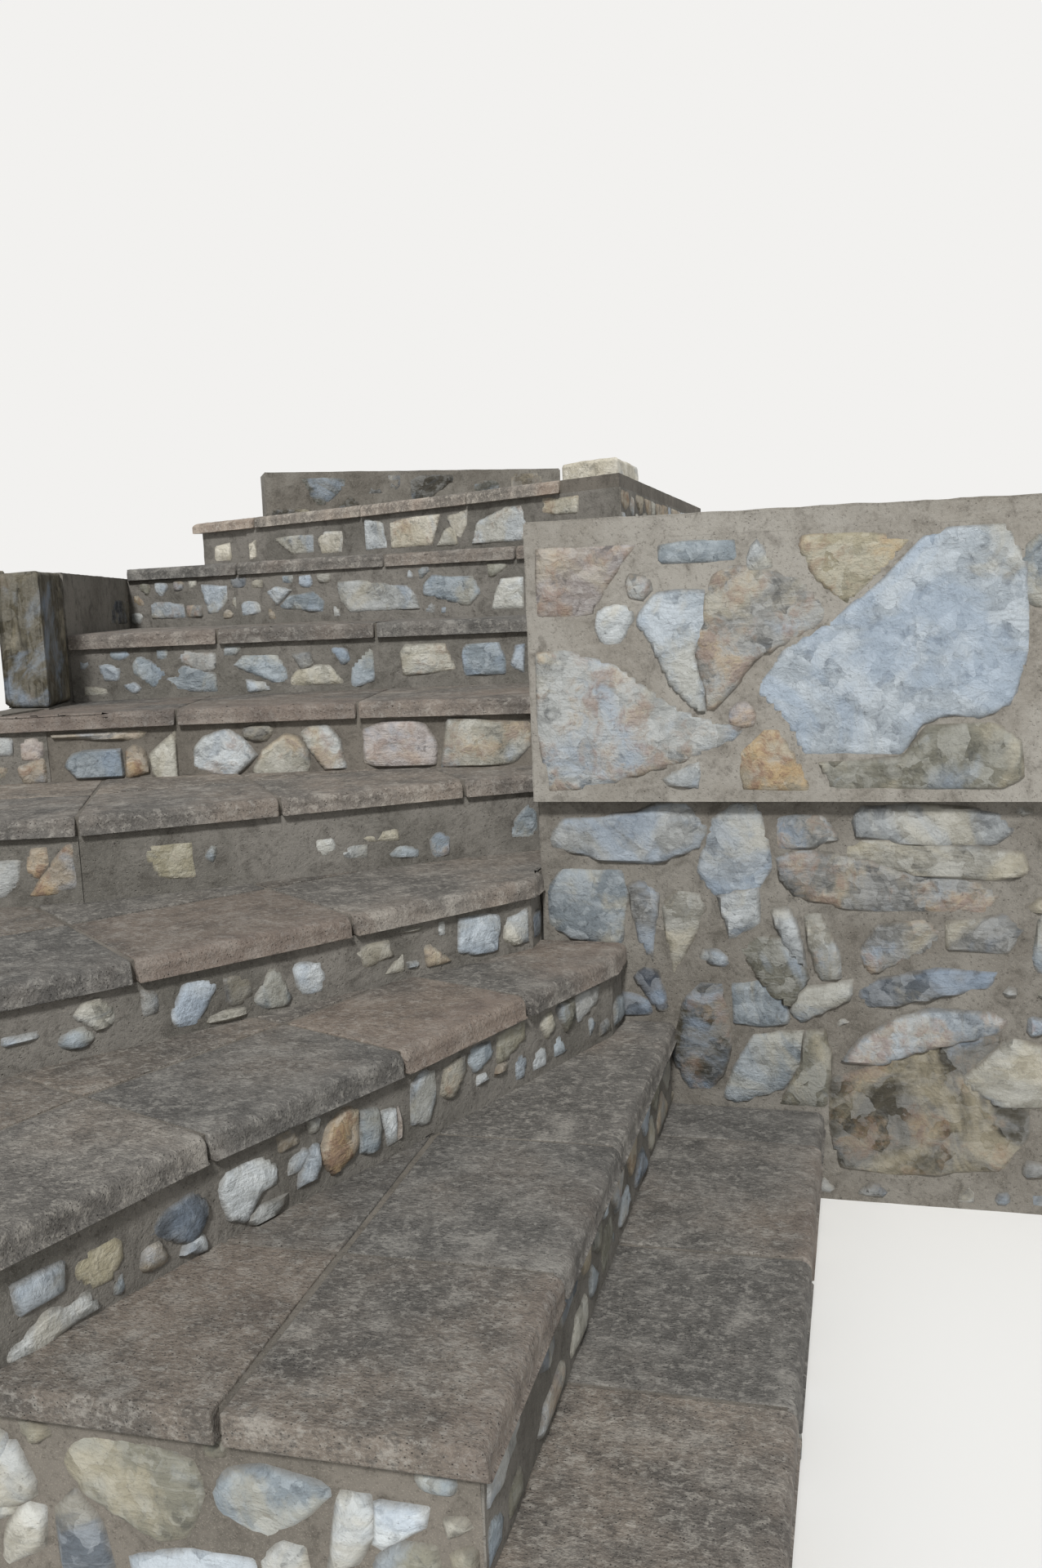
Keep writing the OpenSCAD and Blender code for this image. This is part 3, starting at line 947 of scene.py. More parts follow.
def bands(outline, foot):
    """Rectangles (x0, x1, y0, y1) that fill an outline of level and upright edges."""
    levels = sorted({round(p.y, 4) for p in outline})
    found = []
    for y0, y1 in zip(levels, levels[1:]):
        if y1 - y0 < LEAST_STEP:
            continue
        middle = (y0 + y1) / 2
        crossings = sorted(a.x + (b.x - a.x) * (middle - a.y) / (b.y - a.y)
                           for a, b in sides_of(outline) if (a.y > middle) != (b.y > middle))
        start = max(y0, levels[0] + foot)
        found += [(x0, x1, start, y1) for x0, x1 in zip(crossings[::2], crossings[1::2])]
    return [r for r in found if r[1] - r[0] > LEAST_BAND and r[3] - r[2] > LEAST_BAND]


def seeds(rect, style, rng):
    """Stones in rough courses over a rectangle, as (x, y, half width, half height)."""
    x0, x1, y0, y1 = rect
    rows = max(1, round((y1 - y0) / style.course))
    tall = (y1 - y0) / rows
    found = []
    for row in range(rows):
        x = x0 - rng.uniform(0, style.size)
        while x < x1:
            wide = style.size * rng.uniform(*WIDTHS)
            middle = x + wide / 2
            if x0 + END_ROOM < middle < x1 - END_ROOM:
                y = y0 + tall * (row + 0.5 + rng.uniform(-STAGGER, STAGGER) * (rows > 1))
                found.append((middle, y, wide / 2, tall / 2 * rng.uniform(*HEIGHTS)))
            x += wide
    return found


# %% Plates round the seeds
PLATE_SIDES, PLATE_SPREAD = (5, 6, 7), (1.0, 1.5)
NEIGHBOUR_REACH, JOINT_TURN = 1.1, 0.25
PLATE_MERGE, LEAST_AREA = 0.008, 0.0007


def neighbour_cuts(seed, others, joint, rng):
    """The planes between a seed and its neighbours, nearer to the smaller of the two."""
    x, y, half_w, half_h = seed
    here = Vector((x, y, 0))
    cuts = []
    for ox, oy, ow, oh in others:
        gap = Vector((ox, oy, 0)) - here
        if 1e-6 < gap.length < NEIGHBOUR_REACH * (half_w + ow + half_h + oh):
            share = (half_w + half_h) / (half_w + half_h + ow + oh)
            way = Matrix.Rotation(rng.uniform(-JOINT_TURN, JOINT_TURN), 3, "Z") @ gap.normalized()
            cuts.append((here + gap * share - gap.normalized() * joint / 2, way))
    return cuts


def band_cuts(rect, inset):
    """The planes of the four sides of a band."""
    x0, x1, y0, y1 = rect
    return [(Vector((x0 + inset, 0, 0)), Vector((-1, 0, 0))), (Vector((x1 - inset, 0, 0)), Vector((1, 0, 0))),
            (Vector((0, y0 + inset, 0)), Vector((0, -1, 0))), (Vector((0, y1 - inset, 0)), Vector((0, 1, 0)))]


def plate(seed, laid, rect, joint, rng, limits):
    """The outline of one stone: a plate trimmed by its neighbours, by its band and by some limits."""
    x, y, half_w, half_h = seed
    here = Vector((x, y, 0))
    bm = bmesh.new()
    bmesh.ops.create_circle(bm, cap_ends=True, segments=rng.choice(PLATE_SIDES), radius=1)
    bmesh.ops.rotate(bm, verts=bm.verts, cent=(0, 0, 0),
                     matrix=Matrix.Rotation(rng.uniform(0, ROUND), 3, "Z"))
    for vert in bm.verts:
        vert.co.x = x + vert.co.x * half_w * rng.uniform(*PLATE_SPREAD)
        vert.co.y = y + vert.co.y * half_h * rng.uniform(*PLATE_SPREAD)
    cuts = neighbour_cuts(seed, [o for o in laid if o is not seed], joint, rng)
    cuts += band_cuts(rect, joint * 0.3)
    for at, way in cuts + [c for c in limits if (here - c[0]).dot(c[1]) < 0]:
        bmesh.ops.bisect_plane(bm, geom=bm.verts[:] + bm.edges[:] + bm.faces[:], dist=1e-5,
                               plane_co=at, plane_no=way, clear_outer=True)
    bmesh.ops.remove_doubles(bm, verts=bm.verts, dist=PLATE_MERGE)
    outline = [v.co.to_2d() for f in bm.faces[:][:1] for v in f.verts]
    area = sum(f.calc_area() for f in bm.faces)
    bm.free()
    return outline if len(outline) > 3 and area > LEAST_AREA else None


# %% Stones laid at random
# The pixels between which the photograph shows the masonry
SEEN_LEFT, SEEN_RIGHT, SEEN_TOP, SEEN_BOTTOM = -30, 1235, 0, 1960
CLEAR, EDGE_ROOM = 0.004, 0.02


def in_picture(point):
    x, y = pixel(point)
    return SEEN_LEFT < x < SEEN_RIGHT and SEEN_TOP < y < SEEN_BOTTOM


def random_stones(matrix, outline, style, rng, name, pictured):
    """Stones over a face, apart from the part of it in the picture where that shows its stones."""
    flat_top = abs(matrix.col[2].z) > 0.9
    limits = []
    for a, b in sides_of(outline) if flat_top else ():
        way = Vector((b.y - a.y, a.x - b.x, 0)).normalized()
        limits.append((a.to_3d() - way * CLEAR, way))
    for rect in [span(outline)] if flat_top else bands(outline, style.foot):
        laid = seeds(rect, style, rng)
        for one in laid:
            here = Vector(one[:2])
            at = matrix @ Vector((*here, OFF_FACE))
            if buried(at, name) or pictured and in_picture(at):
                continue
            if flat_top and (not holds(outline, *here)
                             or (near_edge(here, outline) - here).length < EDGE_ROOM):
                continue
            shape = plate(one, laid, rect, style.joint, rng, limits)
            if shape:
                yield make_stone(shape, rng.choice(style.colours), style, rng)


# %% [markdown]
# ## Small stones in the gaps
# A mason closes the wide gaps between big stones with small ones. Seeds are laid over the whole
# face in the filler's size, and those that fall on a stone or close to one are left out. The
# edges of the stones near a seed trim its plate.

# %% Filler stones
NEARBY, LEAST_ROOM = 0.15, 0.010


def filling(matrix, outline, shapes, style, rng, name):
    """Small stones in the gaps between the placed ones."""
    for rect in bands(outline, style.foot):
        laid = seeds(rect, style.filler, rng)
        for one in laid:
            here = Vector(one[:2])
            if any(holds(s, *here) for s in shapes) or buried(matrix @ Vector((*here, OFF_FACE)), name):
                continue
            limits = []
            for shape in shapes:
                edge = near_edge(here, shape)
                away = edge - here
                if away.length < NEARBY:
                    way = away.normalized().to_3d()
                    limits.append((edge.to_3d() - way * style.filler.joint * 0.6, way))
            if any((here.to_3d() - c[0]).dot(c[1]) > -LEAST_ROOM for c in limits):
                continue
            shape = plate(one, laid, rect, style.joint, rng, limits)
            if shape:
                yield make_stone(shape, rng.choice(style.filler.colours), style.filler, rng)


# %% [markdown]
# ## Placing stones by the photograph
# Stones that the photograph shows are placed by their corners in it. A ray through the middle of
# a stone says which solid it belongs to, and a ray through each corner pixel meets the plane of
# the face. Where mortar will lap over its edge, the outline is first made larger by as much.

# %% The solid that a stone lies on
def centre(corners):
    """The pixel in the middle of some others."""
    return [sum(c[i] for c in corners) / len(corners) for i in range(2)]


def first_met(corners):
    """The solid that the camera meets first behind a stone's pixels. The treads are not masonry."""
    way = sight(*centre(corners))
    best = (1e9, None)
    for name, tree in solids.items():
        distance = None if name.startswith("tread") else tree.ray_cast(EYE, way)[3]
        if distance is not None:
            best = min(best, (distance, name))
    return best[1]


def placed_on(name, core):
    """The listed stones of a solid, by the number of the face that they lie on."""
    tree = BVHTree.FromBMesh(core)
    found = {}
    for colour, corners in PLACED:
        if first_met(corners) == name:
            index = tree.ray_cast(EYE, sight(*centre(corners)))[2]
            found.setdefault(index, []).append((colour, corners))
    return found


# %% From pixels to an outline
def on_face(corner, face, back):
    """Where the ray through a pixel meets a face, in the plane that the matrix back leads to."""
    way = sight(*corner)
    hit = EYE + way * ((face.verts[0].co - EYE).dot(face.normal) / way.dot(face.normal))
    return (back @ hit).to_2d()


def grown(corners, lap):
    """Corners moved outwards by what the mortar will lap over."""
    middle = sum(corners, Vector((0, 0))) / len(corners)
    found = []
    for before, here, after in zip(corners[-1:] + corners[:-1], corners, corners[1:] + corners[:1]):
        side = (here - before).normalized() + (after - here).normalized()
        out = Vector((side.y, -side.x)).normalized()
        found.append(here + out * lap * (1 if out.dot(here - middle) > 0 else -1))
    return found


def kept_inside(corners, outline):
    """Corners moved to stay clear of the ends of a face."""
    x0, x1, y0, y1 = span(outline)
    return [Vector((min(max(x, x0 + CLEAR), x1 - CLEAR), min(max(y, y0 + CLEAR), y1 - CLEAR)))
            for x, y in corners]


# %% [markdown]
# ## One masonry face after another
# Stones of the photograph come first on a face, then the filler in the gaps between them, and
# then stones at random where the picture doesn't show the face. The rest of it is mortar: one
# sheet per face, a little proud of it and rippled, with its rim drawn back to the masonry.

# %% Mortar skin
SKIN_START, LEAST_SKIN, SKIN_BURIED = 0.0006, 0.0004, 0.004


def mortar_skin(matrix, outline, style):
    """The rippled mortar of one face, in the shared frame."""
    bm = bmesh.new()
    bm.faces.new([bm.verts.new((p.x, p.y, SKIN_START)) for p in outline])
    cut_grid(bm, style.step * 1.5)
    for vert in bm.verts:
        where = matrix @ vert.co
        wave = ripple(where, 0.09) + 0.7 * ripple(where, 0.03, 6)
        vert.co.z = max(LEAST_SKIN, style.skin + style.waves * wave)
    close_behind(bm, SKIN_BURIED)
    bm.transform(matrix)
    return bm


# %% The stones of a face
def face_stones(face, placed, style, rng, name):
    """All the stones of one face, still in its plane."""
    matrix, outline = face_plane(face)
    back = matrix.inverted()
    made, shapes = [], []
    for colour, corners in placed:
        flat = [on_face(corner, face, back) for corner in corners]
        shapes.append(kept_inside(grown(flat, style.lap), outline))
        made.append(make_stone(shapes[-1], colour, style, rng))
    if shapes and style.filler:
        made += filling(matrix, outline, shapes, style, rng, name)
    if style.colours:
        made += random_stones(matrix, outline, style, rng, name, bool(shapes))
    return made


# %% Masonry
# Faces shorter than this are the ends of a flank and may have a style of their own
END_LENGTH = 0.26


def keep_in_box(bm):
    """Flattens whatever would stand out of the box of the whole object."""
    low, high = cad_box
    for vert in bm.verts:
        vert.co = [min(max(c, a), b) for c, a, b in zip(vert.co, low, high)]


def rubble(name, style, seed, ends=None):
    """Covers the open faces of a solid with stones and a skin of mortar."""
    rng = random.Random(seed)
    core = copy_of(name)
    # The top of a solid that is drawn in has to be covered too
    most_upward = 1.1 if style.sink else 0.5
    shown = [f for f in core.faces if -0.5 < f.normal.z < most_upward and is_open(*face_plane(f), name)]
    if style.sink:
        draw_in(core, style.sink, shown)
    placed = placed_on(name, core)
    stones, skins, count = bmesh.new(), {}, 0
    for face in shown:
        matrix, outline = face_plane(face)
        x0, x1 = span(outline)[:2]
        used = ends if ends and x1 - x0 < END_LENGTH else style
        for bm in face_stones(face, placed.get(face.index, ()), used, rng, name):
            bm.transform(matrix)
            append(stones, bm)
            count += 1
        append(skins.setdefault(used.mortar, bmesh.new()), mortar_skin(matrix, outline, used))
    for bm in (stones, *skins.values()):
        keep_in_box(bm)
    if style.sink:
        piece(f"core_{name}", core, finish[style.mortar], style.slot, (name,))
    else:
        core.free()
    if count:
        piece(f"stones_{name}", stones, finish["stone"], style.slot)
    for kind, skin in skins.items():
        piece(f"{kind}_{name}", skin, finish[kind], "mortar")
    print(name, count, "stones")


# %% [markdown]
# ## The stones in the photograph
# The stones that make each face recognisable, read from the photograph. Each line is one
# stone: its colour, then the pixels of its corners, in order round it.

# %% Reading a list
def listed(text):
    """The stones of a list, each as a colour and its corners."""
    found = []
    for line in text.strip().splitlines():
        colour, *corners = line.split()
        found.append((colour, [tuple(float(v) for v in corner.split(",")) for corner in corners]))
    return found


# %% Stones of the upper wall
UPPER_WALL = listed("""
rose 655,645 795,640 780,665 755,700 740,725 725,752 700,758 655,755
pale 765,715 772,702 795,708 800,722 785,738 768,730
white 728,768 732,748 757,737 770,742 778,755 765,780 757,791 738,790
blue 805,668 835,648 900,652 905,688 850,690 805,692
white 912,690 920,668 930,655 940,680 950,690 940,700 915,700
sky 778,762 785,748 800,728 830,722 865,722 868,765 850,800 862,840 866,877 845,865 820,838 796,785
grey 866,722 875,700 905,692 978,706 1018,748 998,768 945,797 925,806 905,836 868,876 862,840 850,800
yellow 975,665 985,648 1060,642 1115,660 1095,685 1058,720 1038,745 995,705
sky 925,845 960,795 1010,765 1078,712 1128,658 1165,630 1232,634 1258,690 1262,790 1240,860 \
1200,880 1165,875 1130,885 1105,925 985,925 965,888
olive 1000,932 1105,927 1135,888 1215,882 1250,905 1256,950 1225,966 1020,968
pale 655,800 690,795 755,815 775,830 835,870 880,885 915,890 900,905 830,935 750,958 675,972 658,900
rose 890,885 893,868 908,858 920,862 928,880 920,892 900,890
white 805,960 820,948 858,930 860,945 855,968 835,962
rust 912,968 905,945 905,920 940,890 955,895 985,945 992,970
""")
print(len(UPPER_WALL), "stones of the upper wall")

# %% Stones of the lower wall
LOWER_WALL = listed("""
pale 675,1025 690,1005 780,998 805,985 840,985 865,1015 855,1035 800,1055 740,1050 678,1035
sky 872,1005 900,985 925,985 932,1005 945,1058 925,1090 875,1095 855,1065 868,1025
white 880,1098 905,1092 928,1088 930,1130 905,1140 895,1150
pale 951,1003 965,998 1005,1000 1028,1025 990,1035 951,1040
white 1045,1005 1055,990 1120,982 1165,990 1222,998 1240,1018 1215,1032 1150,1035 1050,1022
cream 1035,1038 1060,1030 1200,1040 1252,1046 1258,1068 1215,1075 1120,1068 1040,1050
grey 951,1050 985,1043 1060,1055 1100,1068 1190,1078 1222,1095 1205,1118 1050,1112 975,1095 958,1075
blue 672,1090 690,1065 760,1065 768,1095 760,1160 700,1145 675,1130
grey 770,1085 785,1080 805,1095 800,1180 785,1150
cream 812,1110 830,1092 855,1095 862,1110 850,1140 825,1195
navy 778,1195 790,1185 805,1190 822,1240 805,1232
slate 735,1225 765,1215 795,1225 800,1240 740,1242
umber 840,1225 860,1205 885,1205 895,1270 885,1310 870,1330 845,1332 825,1290
blue 895,1205 930,1200 960,1225 965,1250 935,1255 900,1250
olive 905,1160 930,1148 960,1150 990,1195 968,1232 945,1215
white 945,1115 965,1112 975,1135 990,1190 965,1165
cream 985,1120 1003,1118 1025,1165 1030,1195 1005,1200 995,1165
sky 968,1235 985,1210 1045,1200 1040,1220 980,1250
grey 1055,1165 1075,1135 1130,1128 1150,1140 1140,1160 1065,1192
grey 1158,1130 1230,1122 1252,1140 1230,1166 1160,1160
slate 1050,1215 1080,1200 1150,1188 1222,1190 1210,1206 1110,1225 1065,1232
sky 1030,1300 1055,1275 1095,1250 1140,1238 1215,1243 1236,1252 1215,1264 1120,1285 1075,1302
blue 888,1340 905,1300 925,1268 985,1262 985,1290 960,1330 900,1348
olive 988,1263 1008,1260 1015,1290 1012,1355 955,1352 982,1305
umber 1018,1320 1060,1310 1165,1275 1225,1272 1262,1300 1258,1390 1225,1430 1100,1436 1030,1425 1018,1380
""")
print(len(LOWER_WALL), "stones of the lower wall")

# %% Stones of riser 3
RISER_3 = listed("""
sky 8,1575 78,1542 77,1580 22,1613
pale 5,1670 10,1655 35,1630 55,1605 80,1600 105,1580 124,1598 60,1640 20,1670
yellow 88,1560 95,1545 115,1525 135,1512 163,1510 165,1528 135,1568 110,1576
blue 135,1585 140,1568 155,1552 165,1572 150,1582
tan 170,1555 175,1530 190,1522 203,1540 195,1548
slate 178,1512 200,1485 235,1462 265,1460 262,1480 235,1520 205,1515
white 219,1537 225,1525 245,1512 280,1509 265,1520 240,1528
white 267,1455 275,1435 300,1425 320,1420 338,1430 335,1445 315,1455 300,1493 280,1490
pale 350,1440 355,1420 372,1407 376,1412 365,1432
sky 363,1455 368,1435 380,1402 388,1402 385,1440
pale 300,1495 315,1478 354,1460 335,1480 312,1497
rust 390,1415 400,1380 410,1370 420,1358 435,1360 436,1395 425,1415 405,1437
blue 437,1410 440,1362 460,1358 462,1385 458,1408
white 463,1362 482,1357 485,1395 475,1402
rose 485,1395 487,1355 498,1345 500,1385
sky 502,1375 502,1330 515,1315 530,1312 532,1335 522,1375
grey 538,1340 542,1310 565,1292 568,1310 550,1343
blue 571,1300 575,1285 597,1277 601,1290 580,1312
white 582,1330 583,1318 592,1315 596,1320
olive 607,1300 607,1270 618,1258 640,1250 640,1270 612,1300
rust 604,1318 608,1305 618,1302 620,1308
cream 660,1255 665,1245 673,1240 675,1258 668,1272
olive 680,1235 685,1225 700,1222 698,1245 690,1262
grey 701,1230 705,1212 720,1205 732,1203 728,1225 705,1253
""")
print(len(RISER_3), "stones of riser 3")

# %% Stones of riser 4
RISER_4 = listed("""
white 0,1272 20,1270 50,1262 48,1270 20,1278 0,1283
blue 70,1282 75,1270 100,1255 118,1270 100,1283
cream 88,1245 100,1228 120,1222 135,1232 143,1250 120,1262
grey 154,1222 165,1213 190,1215 195,1230 190,1240 160,1250
sky 207,1245 225,1203 245,1199 266,1205 250,1235 240,1255 215,1257
cream 250,1248 275,1238 300,1235 304,1240 280,1248 255,1252
navy 270,1200 285,1194 305,1200 309,1215 290,1232 278,1230
blue 309,1225 320,1205 330,1183 340,1190 355,1220 350,1232 320,1233
white 357,1185 365,1180 390,1178 396,1195 394,1212 380,1218 365,1215
grey 432,1165 450,1155 475,1152 480,1170 460,1178 445,1187
cream 468,1195 480,1180 492,1168 495,1190
white 495,1178 512,1177 514,1184 500,1186
cream 485,1142 495,1130 520,1127 512,1140
cream 518,1160 525,1157 554,1176 540,1180 522,1184
sky 559,1165 560,1125 600,1119 611,1122 608,1150 605,1165 580,1168
cream 614,1150 618,1125 645,1112 661,1110 661,1148 630,1158
""")
print(len(RISER_4), "stones of riser 4")

# %% Stones of riser 5
RISER_5 = listed("""
pale -20,1055 28,1052 22,1085 5,1100 -20,1100
rust 32,1065 37,1040 57,1036 62,1055 48,1078
rust 35,1100 50,1078 80,1035 97,1032 99,1085 60,1095
yellow 177,1048 185,1033 237,1028 241,1075 195,1074
blue 250,1050 258,1035 266,1037 262,1057
white 385,1035 390,1028 408,1025 410,1040 395,1050
pale 418,1045 430,1035 450,1032 450,1050 425,1052
blue 470,1050 490,1035 512,1040 512,1050
blue 525,1030 535,1018 550,1025 550,1045 530,1052
cream 440,1022 485,1015 490,1030 445,1030
blue 624,1025 630,1005 645,985 655,990 658,1010 655,1030
""")
print(len(RISER_5), "stones of riser 5")

# %% Stones of riser 6
RISER_6 = listed("""
rose 25,908 40,903 55,910 68,922 50,932 25,930
rust 20,940 35,935 70,926 78,938 72,957 30,960
blue 80,938 88,925 105,920 148,917 153,952 95,953
rust 155,920 165,912 178,920 183,945 155,954
cream 183,925 205,905 226,892 236,945 230,953 190,952
white 237,935 240,915 250,903 278,893 298,905 315,925 285,953 242,940
dark 297,893 310,886 330,885 335,895 325,908 300,903
cream 310,945 322,920 350,899 365,903 378,920 380,935 375,950 330,955
pale 368,897 380,890 400,888 415,905 425,940 400,943 378,915
rose 433,935 436,895 470,881 505,880 520,888 535,910 535,935 480,939
cream 540,940 548,880 570,877 620,884 649,885 649,912 630,932 600,937
tan 60,895 120,893 185,890 170,905 65,903
""")
print(len(RISER_6), "stones of riser 6")

# %% Stones of riser 7
RISER_7 = listed("""
sky 120,815 132,812 148,820 146,835 128,832
blue 162,815 170,804 182,808 206,825 190,843 165,825
sky 150,840 165,835 175,843 165,850
grey 215,805 225,797 275,800 275,815 255,825 225,812
blue 195,845 200,835 225,815 265,825 270,848
blue 285,815 300,802 340,800 348,815 355,832 340,837
sky 300,832 325,835 335,845 305,848
grey 355,800 380,798 385,815 370,820
cream 355,835 362,822 390,815 405,815 425,838 358,840
blue 405,795 412,791 425,795 430,808 420,815
blue 430,835 432,815 455,787 465,800 470,815 488,832 435,842
cream 490,800 497,790 545,788 560,820 495,828
blue 565,800 570,790 610,785 620,810 620,825 570,828
sky 625,815 632,790 643,788 643,825
""")
print(len(RISER_7), "stones of riser 7")

# %% Stones of riser 8
RISER_8 = listed("""
navy 135,745 140,735 175,735 183,745 183,762 135,768
cream 185,740 195,737 228,740 229,757 188,758
grey 230,741 248,740 250,755 230,757
sky 246,716 279,717 279,735 268,750 257,752
sky 296,740 305,735 318,738 322,750 298,755
white 327,725 338,718 360,722 340,742
blue 340,745 355,730 385,725 398,735 398,750
pale 413,713 440,711 500,718 510,730 515,745 430,750 418,735
blue 520,715 530,705 580,706 590,725 575,742 518,728
white 608,725 615,708 642,705 642,745 602,747
""")
print(len(RISER_8), "stones of riser 8")

# %% Stones of riser 9
RISER_9 = listed("""
ivory 225,689 228,678 238,671 248,677 252,689
ivory 263,668 283,664 285,687 263,689
ivory 290,668 318,661 330,668 322,682 295,688
cream 335,660 357,656 385,655 386,677 360,679
ivory 390,660 400,650 420,651 420,676 395,679
white 422,640 450,636 470,640 476,672 430,676
ivory 478,640 510,632 540,629 530,668 480,672
cream 545,650 560,640 562,668 535,669
ivory 548,632 575,625 600,628 580,640 562,668
white 585,640 620,622 640,620 645,640 643,662 566,668
cream 664,607 710,606 708,629 664,629
""")
print(len(RISER_9), "stones of riser 9")

# %% Stones of the front flank
FRONT_FLANK = listed("""
olive 82,1788 98,1764 139,1760 233,1788 249,1821 228,1874 196,1880 106,1821
blue 267,1825 282,1805 326,1801 416,1821 367,1854 326,1878 273,1846
white 420,1827 455,1833 453,1870 432,1907 404,1919
white 465,1842 520,1846 514,1862 457,1903
slate 73,1846 94,1829 118,1862 139,1919 82,1919
pale -40,1756 16,1764 45,1821 24,1833 -40,1840
pale 16,1870 37,1842 55,1842 49,1887 4,1919
sky 163,1907 245,1903 310,1911 320,1950 170,1950
pale 326,1911 351,1891 371,1895 380,1940 330,1940
olive 465,1915 494,1891 530,1899 539,1950 470,1950
""")
print(len(FRONT_FLANK), "stones of the front flank")

# %% All placed stones
PLACED = UPPER_WALL + LOWER_WALL + RISER_3 + RISER_4 + RISER_5 + RISER_6 + RISER_7 + RISER_8 + RISER_9
PLACED += FRONT_FLANK
print(len(PLACED), "stones placed by the photograph")

# %% [markdown]
# ## The masonry, part by part
# The risers are of small hard stones with much mortar, the retaining wall has large smooth
# stones that lie almost flush in it, and the flanks, which the photograph hardly shows, repeat
# the big rough stones at the foot of the front flank. Three sets of entries hold what a part
# has in common, and each face names only what it changes.

# %% Common entries
MIXED = ("blue", "sky", "white", "cream", "pale", "grey", "blue", "tan", "olive", "slate")
WARM = ("ivory", "cream", "white", "tan", "pale", "rust")
WALL = ("sky", "blue", "pale", "cream", "grey", "olive", "pale")
FLANK = ("olive", "pale", "blue", "white", "cream", "slate", "grey", "tan")
CREST = ("olive", "brown", "grey", "tan", "olive")
GRAVEL = ("grey", "pale", "olive", "tan")
DRAWN = 0.006

riser = dict(size=0.12, course=0.065, joint=0.012, relief=(0.005, 0.011), skin=0.0035, waves=0.0022,
             step=0.010, colours=MIXED, mortar="mortar", slot="riser_rubble", foot=0.045,
             lap=0.006, light=0.95)
flank = dict(size=0.19, course=0.13, joint=0.022, relief=(0.006, 0.012), skin=0.003, waves=0.003,
             step=0.018, colours=FLANK, mortar="mortar", slot="flank_rubble", shoulder=0.016)
wall = dict(size=0.22, course=0.16, joint=0.030, relief=(0.009, 0.013), skin=0.004, waves=0.0013,
            step=0.014, colours=WALL, mortar="wall_mortar", slot="wall_rubble", sink=DRAWN,
            lap=0.005, light=0.88)
small = styled(riser, size=0.06, course=0.05, relief=(0.004, 0.009), skin=0.004)

# %% Risers
# What single risers change: riser 1 stands on the ground, 3 and 6 have bolder stones, 5 flatter
# ones, and 9 is of warm pale stones, with painted sunlight in their ivory
CHANGES = {
    1: dict(foot=0.0),
    3: dict(relief=(0.007, 0.013), lap=0.009),
    5: dict(relief=(0.004, 0.008), filler=None),
    # Riser 6 takes the darker joint mortar: partly its own colour and partly painted shade in its deep gaps
    6: dict(relief=(0.011, 0.014), skin=0.001, mortar="joint", filler=None),
    9: dict(colours=WARM, filler=None),
}
riser["filler"] = small
for k in range(1, TREADS + 1):
    rubble(f"riser_{k}", styled(riser, **CHANGES.get(k, {})), 20 + k)

# %% Flanks
rubble("front_flank", styled(flank, filler=small, lap=0.013, mortar="joint", skin=0.001, joint=0.012,
                             relief=(0.009, 0.014)), 31, Style(**riser))
rubble("left_flank", Style(**flank), 32, Style(**riser))
for i, name in enumerate(("house_side_flank", "back_flank")):
    rubble(name, styled(flank, sink=DRAWN), 33 + i)

# %% Retaining wall
low = dict(wall, relief=(0.009, 0.016), skin=0.003, waves=0.0022, lap=0.010, light=0.78,
           mortar="low_mortar")
rubble("wall_upper", Style(**wall), 41)
rubble("wall_lower", styled(low, filler=styled(low, size=0.08, course=0.06)), 42)
rubble("return_wall", styled(wall, step=0.026), 43)
rubble("wall_cap", styled(wall, colours=(), skin=0.004, waves=0.002), 44)

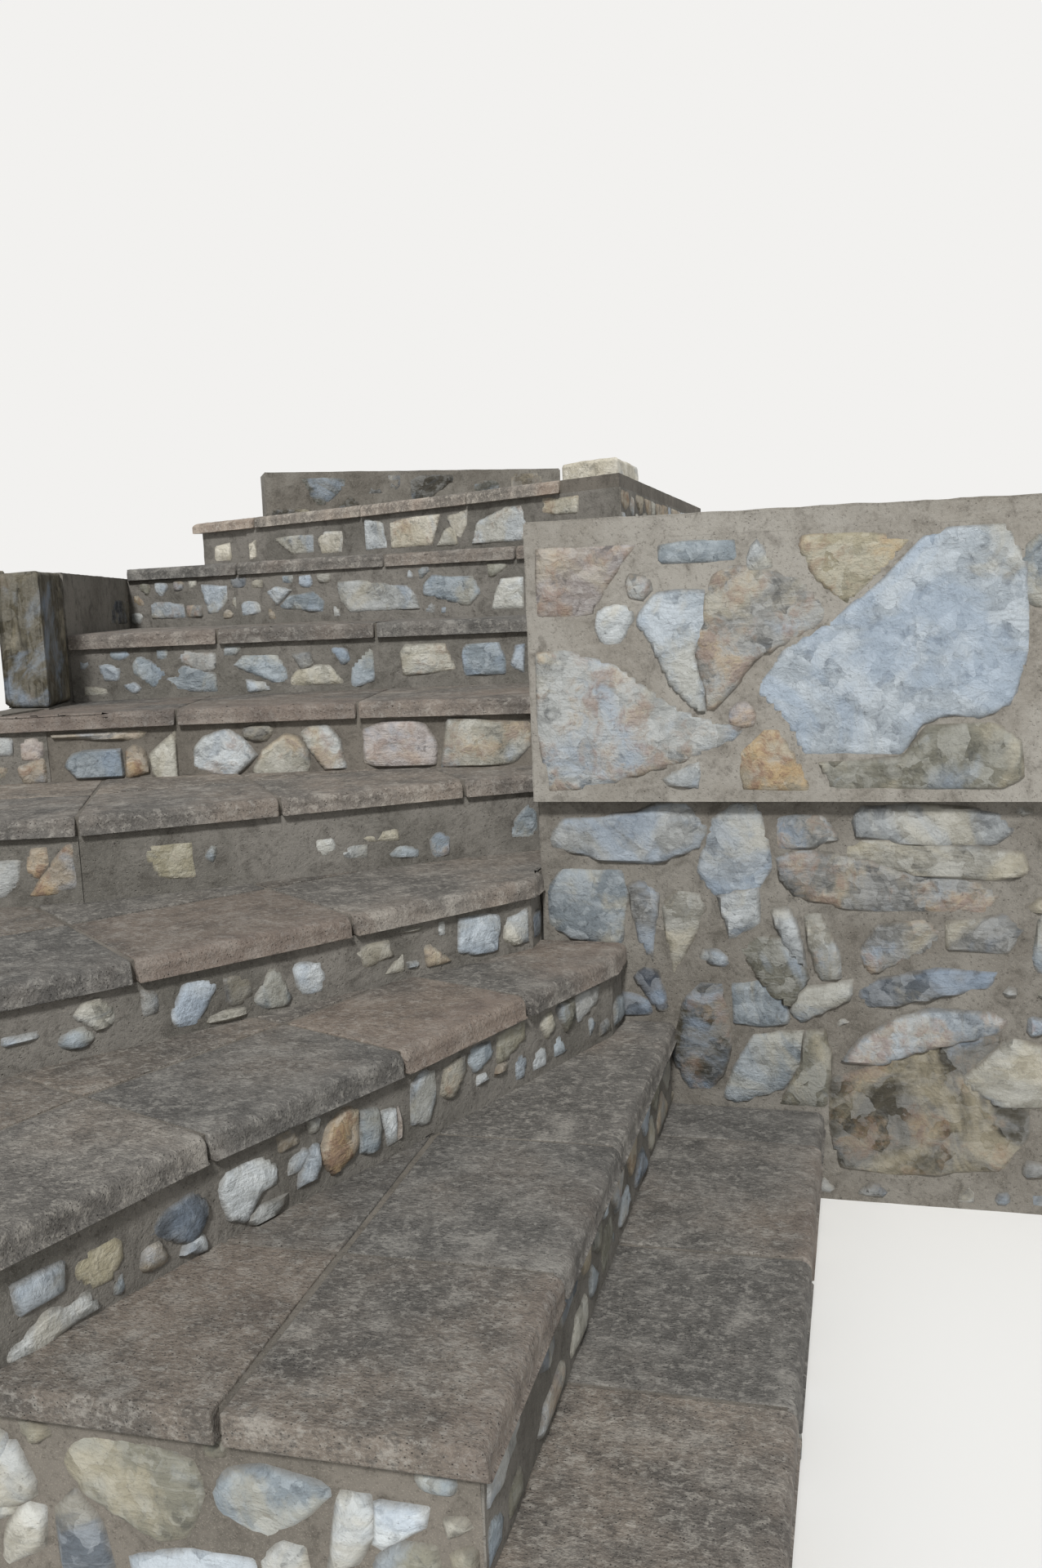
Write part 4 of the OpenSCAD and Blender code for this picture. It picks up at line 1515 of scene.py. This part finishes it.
# %% Kerb, gate sill and landing
crest = styled(wall, colours=CREST, size=0.2, course=0.09, mortar="low_mortar", light=0.65,
               relief=(0.004, 0.008), slot="pier_stone")
for i, name in enumerate(("kerb", "gate_sill")):
    rubble(name, crest, 45 + i)
rubble("landing", styled(wall, colours=GRAVEL, size=0.34, course=0.3, relief=(0.004, 0.006),
                         skin=0.002, waves=0.001, slot="tread_stone"), 47)

# %% [markdown]
# ## Single blocks
# The pier by the upper treads is one rough upright stone with pale streaks down its front, and
# a white block ends the top riser. Both are the CAD solid with its edges knocked off and its
# faces cut into a grid that is pushed in by noise. Their feet stay where they are.

# %% Pier and end block
BLOCK_STEP, BLOCK_FOOT = 0.018, 0.002
BLOCK_GRAIN = (0.4, 0.6, 0.5, 0.2)


def rough_block(name, colour, material, slot, depth, knock):
    bm = copy_of(name)
    bmesh.ops.bevel(bm, geom=bm.edges[:], offset=knock, segments=2, profile=0.5, affect="EDGES", material=-1)
    cut_grid(bm, BLOCK_STEP, (0, 1, 2))
    bm.normal_update()
    tint = bm.verts.layers.float_color.new("tint")
    grain = bm.verts.layers.float_color.new("grain")
    low = min(v.co.z for v in bm.verts)
    moves = []
    for vert in bm.verts:
        vert[tint] = paint(*COLOURS[colour])
        vert[grain] = BLOCK_GRAIN
        push = depth * (1 + 0.7 * ripple(vert.co, 0.07) + 0.3 * ripple(vert.co, 0.03, 1))
        moves.append((vert, vert.normal * -push * (vert.co.z > low + BLOCK_FOOT)))
    for vert, move in moves:
        vert.co += move
    piece(f"rough_{name}", bm, finish[material], slot, (name,))


rough_block("pier", "umber", "streaked", "pier_stone", 0.004, 0.012)
rough_block("end_block", "ivory", "stone", "riser_rubble", 0.005, 0.014)

# %% [markdown]
# ## What is left of the frame
# The risers and the two flanks on the front and left stay visible behind their stones, as the
# mortar they are bedded in.

# %% Finishes of the frame's own solids
for name in [f"riser_{k}" for k in range(1, TREADS + 1)] + ["front_flank", "left_flank"]:
    nodes[name].data.materials.clear()
    nodes[name].data.materials.append(finish["joint" if name == "front_flank" else "mortar"])
    print(name, "has the finish", nodes[name].data.materials[0].name)

# %% [markdown]
# ## The end
# The scene is built; the last cell only says so.

# %% The end
print("the scene is built")
